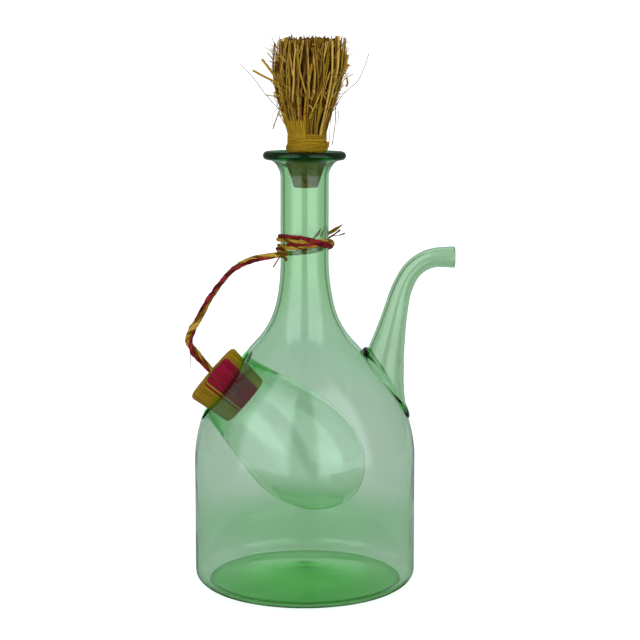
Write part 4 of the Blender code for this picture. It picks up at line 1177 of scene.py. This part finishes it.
# The knot at the neck, and the cut ends: piece, colour, node, points, half-widths and the flat side's facing.
NECK_KNOT = [
    (-0.0118, -0.0126, 0.2136), (-0.0134, -0.0130, 0.2134), (-0.0148, -0.0122, 0.2122),
    (-0.0144, -0.0126, 0.2106), (-0.0126, -0.0134, 0.2104), (-0.0114, -0.0138, 0.2118),
    (-0.0124, -0.0142, 0.2130), (-0.0140, -0.0134, 0.2122), (-0.0136, -0.0132, 0.2108),
    (-0.0118, -0.0134, 0.2096), (-0.0110, -0.0136, 0.2080),
]
TAILS = (
    ("tail_leaf", "natural_raffia", "tail_natural",
     [(0.0130, 0.0145, 0.2205), (0.0150, 0.0125, 0.2226), (0.0179, 0.0120, 0.2243), (0.0198, 0.0118, 0.2256),
      (0.0220, 0.0116, 0.2270), (0.0241, 0.0115, 0.2285)],
     (0.0008, 0.0011, 0.0013, 0.0012, 0.0007, 0.0003), (0.1, -1.0, -0.3)),
    ("tail_magenta", "red_raffia", "tail_red",
     [(0.0150, 0.0130, 0.2195), (0.0170, 0.0122, 0.2210), (0.0191, 0.0120, 0.2224), (0.0224, 0.0118, 0.2249)],
     (0.0006, 0.0006, 0.0005, 0.0007), (0.1, -1.0, -0.2)),
    ("tail_fine", "natural_raffia", "tail_thin",
     [(0.0160, 0.0118, 0.2200), (0.0180, 0.0112, 0.2211), (0.0210, 0.0110, 0.2215), (0.0232, 0.0108, 0.2220),
      (0.0256, 0.0106, 0.2230)],
     (0.0003, 0.0003, 0.0003, 0.0005, 0.0005), (0.1, -1.0, 0.0)),
    ("knot_end", "natural_raffia", "knot_tail",
     [(-0.0150, -0.0128, 0.2108), (-0.0163, -0.0122, 0.2088), (-0.0178, -0.0117, 0.2064),
      (-0.0195, -0.0113, 0.2036)],
     (0.0006, 0.0005, 0.0005, 0.0005), (0.0, -1.0, 0.0)),
)
TAIL_BLADE = [                                       # a second leaf behind the neck, with its half-width
    (0.0060, 0.0165, 0.2188, 0.0007), (0.0080, 0.0158, 0.2205, 0.0011), (0.0105, 0.0150, 0.2226, 0.0013),
    (0.0125, 0.0142, 0.2244, 0.0008), (0.0136, 0.0138, 0.2258, 0.0003),
]


def add_ply(strands, path, out, count, half, tint):
    """A ply as a few flat strands lying over each other, turning slowly about the ply's own middle."""
    sides, others = frame_along(path)
    along = length_along(path)
    chance = strands.random
    for index in range(count):
        phase = 2 * math.pi * index / count + chance.uniform(-0.4, 0.4)
        turn = phase + along * 450.0 + 0.5 * np.sin(along * chance.uniform(150, 320) + phase)
        place, direction = turned_round(path, sides, others, turn, half * 0.52)
        place = place + sides * (0.00035 * np.sin(along * 400.0 + phase * 3))[:, None]
        wide = half * (0.56 + 0.22 * np.sin(along * chance.uniform(200, 500) + phase))
        strands.add(place, wide, half * 0.30, direction + out * 0.6, chance.uniform(*tint))


def make_cord(natural, red):
    path = curve_through(np.array(CORD_KNOTS) * (MM, MM, MM, MM, 1.0), 0.0010)
    middle, offset, turn = path[:, :3], path[:, 3], np.radians(path[:, 4])
    sides, others = frame_along(middle)
    natural_ply, red_ply = Strands(31), Strands(32)
    path, out = turned_round(middle, sides, others, turn, offset)
    add_ply(natural_ply, path, out, 8, 0.00175, (0.0, 1.0))
    path, out = turned_round(middle, sides, others, turn + 1.5, offset * 1.15)
    add_ply(natural_ply, path, out, 2, 0.0007, (0.1, 0.5))
    hair = curve_through(CORD_HAIR, 0.001)
    natural_ply.add(hair, np.linspace(0.00028, 0.0001, len(hair)), 0.00014, (0.0, -1.0, 0.0), 0.02, sides=5)
    path, out = turned_round(middle, sides, others, turn + math.pi, offset)
    add_ply(red_ply, path, out, 6, 0.00155, (0.0, 0.9))
    for cord in (
        natural_ply.build("cord_natural", natural, None, "natural_raffia", "tether_natural"),
        red_ply.build("cord_red", red, None, "red_raffia", "tether_red"),
    ):
        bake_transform(cord)


def make_wraps(natural, red):
    angle, reach, height, turn = np.array(WRAP_KNOTS, float).T
    angle, turn = np.radians(angle), np.radians(turn)
    knots = np.stack([reach * np.cos(angle) * MM, reach * np.sin(angle) * MM, height * MM, turn], axis=1)
    path = curve_through(knots, 0.0009)
    middle, turn = path[:, :3], path[:, 3:]
    radial = unit(middle * np.array((1.0, 1.0, 0.0)))
    for seed, phase, count, half, most, name, material, slot, node in (
        (41, 0.0, 7, 0.00128, 1.0, "wrap_natural", natural, "natural_raffia", "neck_wrap_natural"),
        (42, math.pi, 6, 0.00122, 0.9, "wrap_red", red, "red_raffia", "neck_wrap_red"),
    ):
        strands = Strands(seed)
        lifted = np.array((0.0, 0.0, 0.00128)) * np.cos(turn + phase)
        ply_path = middle + lifted + radial * (np.sin(turn + phase) * 0.0006)
        add_ply(strands, ply_path, radial, count, half, (0.0, most))
        strands.build(name, material, "glass", slot, node)


def make_knot_and_tails(natural, red):
    knot = Strands(51)
    for index in range(3):
        shift = np.array((0.0003, -0.0003, 0.0004)) * (index - 1)
        path = curve_through(NECK_KNOT + shift, 0.0006)
        knot.add(path, 0.0005, 0.00032, (-0.4, -1.0, 0.2), 0.02 + 0.12 * index)
    knot.build("cord_knot", natural, "glass", "natural_raffia", "neck_knot")
    for name, slot, node, points, widths, facing in TAILS:
        strands = Strands(len(name))
        sized = curve_through(np.column_stack([points, widths]), 0.0007)
        thick = np.minimum(sized[:, 3] * 0.5, 0.0004)
        strands.add(sized[:, :3], sized[:, 3], thick, facing, 0.4, sides=8)
        if name == "tail_leaf":
            blade = curve_through(TAIL_BLADE, 0.0007)
            strands.add(blade[:, :3], blade[:, 3], 0.0003, (0.3, -1.0, -0.2), 0.3, sides=8)
        strands.build(name, red if slot == "red_raffia" else natural, "glass", slot, node)


def make_fibres():
    natural, red, straw, cord_natural, cord_red = [fibre_material(name) for name in FIBRES]
    cork = cork_material()
    make_brush(straw)
    make_binding_turns(natural)
    make_binding_blade(natural)
    make_binding_bump(natural)
    make_cork(cork)
    make_plug(natural, red, cork)
    make_cord(cord_natural, cord_red)
    make_wraps(cord_natural, cord_red)
    make_knot_and_tails(cord_natural, cord_red)


# ---- Studio: a pale sweep in a light tent, angles in degrees from the camera's side ---------------
OPENING_EDGE = (10.0, 20.0)
CLOTH_END = (78.0, 66.0)
CLOTH_FOOT = (-34.0, -7.0)
CLOTH_TOP = (70.0, 55.0)
TENT_DIM = (0.30, 0.30, 0.31)
TENT_OPENING = (0.14, 0.14, 0.14)
TENT_CLOTH = (1.85, 1.9, 2.1)
WHITE = (1.0, 1.0, 1.0)
SWEEP_PAPER = (0.55, 0.55, 0.55)
SWEEP_SEEN, SWEEP_UNSEEN = 0.72, 0.19     # glow of the paper for the camera and for other rays
HEM_GLOW, HEM_SPAN = 1.4, (0.22, 0.80)    # cloth that lies on the paper, as the glass shows it
MIRRORED_COLOUR = (0.92, 0.97, 1.0)
MIRRORED_NEAR, MIRRORED_FAR = 0.06, 0.34  # low in reflections, which keeps the outlines of the glass dark
MIRRORED_SPAN = (-0.05, 0.25)
GLIMMER_COLOUR = (0.01, 0.36, 0.01)       # green light that the bottle throws on the paper behind it
GLIMMER_PLACE, GLIMMER_SPAN, GLIMMER_SHARE = (0.0, 0.15, 0.0), (0.13, 0.03), 0.42


def sweep_material():
    material, tree, _, output = new_material("sweep_paper")
    path = tree.add("LightPath").outputs
    place = tree.add("TexCoord").outputs["Object"]
    distance = tree.add("VectorMath", place, operation="LENGTH").outputs["Value"]
    azimuth, _ = tree.azimuth(place)
    hem = tree.product(tree.step(distance, *HEM_SPAN), tree.step(azimuth, *OPENING_EDGE))
    seen_through = tree.product(path["Is Transmission Ray"], HEM_GLOW)
    hem = tree.product(hem, tree.step(azimuth, *CLOTH_END), seen_through)
    unseen = tree.math("ADD", hem, SWEEP_UNSEEN)
    level = {"Value": path["Is Camera Ray"], "To Min": unseen, "To Max": SWEEP_SEEN}
    glow = tree.out("Emission", WHITE, tree.out("MapRange", named=level))
    paper = tree.out("AddShader", tree.out("BsdfDiffuse", SWEEP_PAPER), glow)
    apart = tree.add("VectorMath", place, GLIMMER_PLACE, operation="DISTANCE").outputs["Value"]
    glimmer = tree.product(tree.step(apart, *GLIMMER_SPAN), GLIMMER_SHARE, path["Is Transmission Ray"])
    paper = tree.out("MixShader", glimmer, paper, tree.out("Emission", GLIMMER_COLOUR, 1.0))
    far = tree.step(tree.add("SeparateXYZ", place).outputs["Y"], *MIRRORED_SPAN)
    strength = tree.math("MULTIPLY_ADD", far, MIRRORED_FAR - MIRRORED_NEAR, MIRRORED_NEAR)
    bounced = tree.math("SUBTRACT", path["Is Glossy Ray"], path["Is Transmission Ray"])
    mirrored = tree.out("Emission", MIRRORED_COLOUR, strength)
    surface = tree.out("MixShader", tree.math("MAXIMUM", bounced, 0.0), paper, mirrored)
    tree.feed(output.inputs["Surface"], surface)
    return material


def make_sweep():
    """Pale floor that curves up into a backdrop."""
    half, front, back, bend, top, sunk = 0.85, -0.75, 0.7, 1.2, 3.2, 0.0002
    section = [(front, 0.0), *arc((back, bend), bend, -math.pi / 2, 0.0, 23), (back + bend, top)]
    verts = [(side, y, z - sunk) for y, z in section for side in (-half, half)]
    faces = [(2 * i, 2 * i + 1, 2 * i + 3, 2 * i + 2) for i in range(len(section) - 1)]
    mesh = bpy.data.meshes.new("sweep")
    mesh.from_pydata(verts, [], faces)
    mesh.shade_smooth()
    mesh.materials.append(sweep_material())
    link_new("sweep", mesh)


def make_world():
    """A light tent: bright cloth on both sides, a dim opening behind the camera and a dim top."""
    world = bpy.data.worlds.new("studio")
    world.use_nodes = True
    tree = Tree(world.node_tree)
    azimuth, z = tree.azimuth(tree.add("TexCoord").outputs["Generated"])
    elevation = tree.math("DEGREES", tree.math("ARCSINE", z))
    opening = tree.step(azimuth, *OPENING_EDGE)
    cloth = tree.product(
        opening,
        tree.step(azimuth, *CLOTH_END),
        tree.step(elevation, *CLOTH_FOOT),
        tree.step(elevation, *CLOTH_TOP),
    )
    colour = tree.mix(cloth, tree.mix(opening, TENT_OPENING, TENT_DIM), TENT_CLOTH)
    colour = tree.mix(tree.add("LightPath").outputs["Is Camera Ray"], colour, WHITE)
    tree.feed(tree.nodes["Background"].inputs["Color"], colour)
    bpy.context.scene.world = world


def make_camera():
    data = bpy.data.cameras.new("camera")
    data.sensor_width = 36.0
    data.lens = 93.375
    camera = link_new("camera", data)
    camera.location = (0.00962, -1.0383, 0.3155)
    camera.rotation_euler = (math.radians(81.963), 0.0, 0.0)
    bpy.context.scene.camera = camera


def make_studio():
    make_sweep()
    make_world()
    make_camera()
    scene = bpy.context.scene
    scene.view_settings.view_transform = "Standard"
    scene.cycles.max_bounces = 32
    scene.cycles.transmission_bounces = 28
    scene.cycles.transparent_max_bounces = 32
    scene.cycles.glossy_bounces = 8
    scene.cycles.diffuse_bounces = 3


make_glass()
make_fibres()
make_studio()
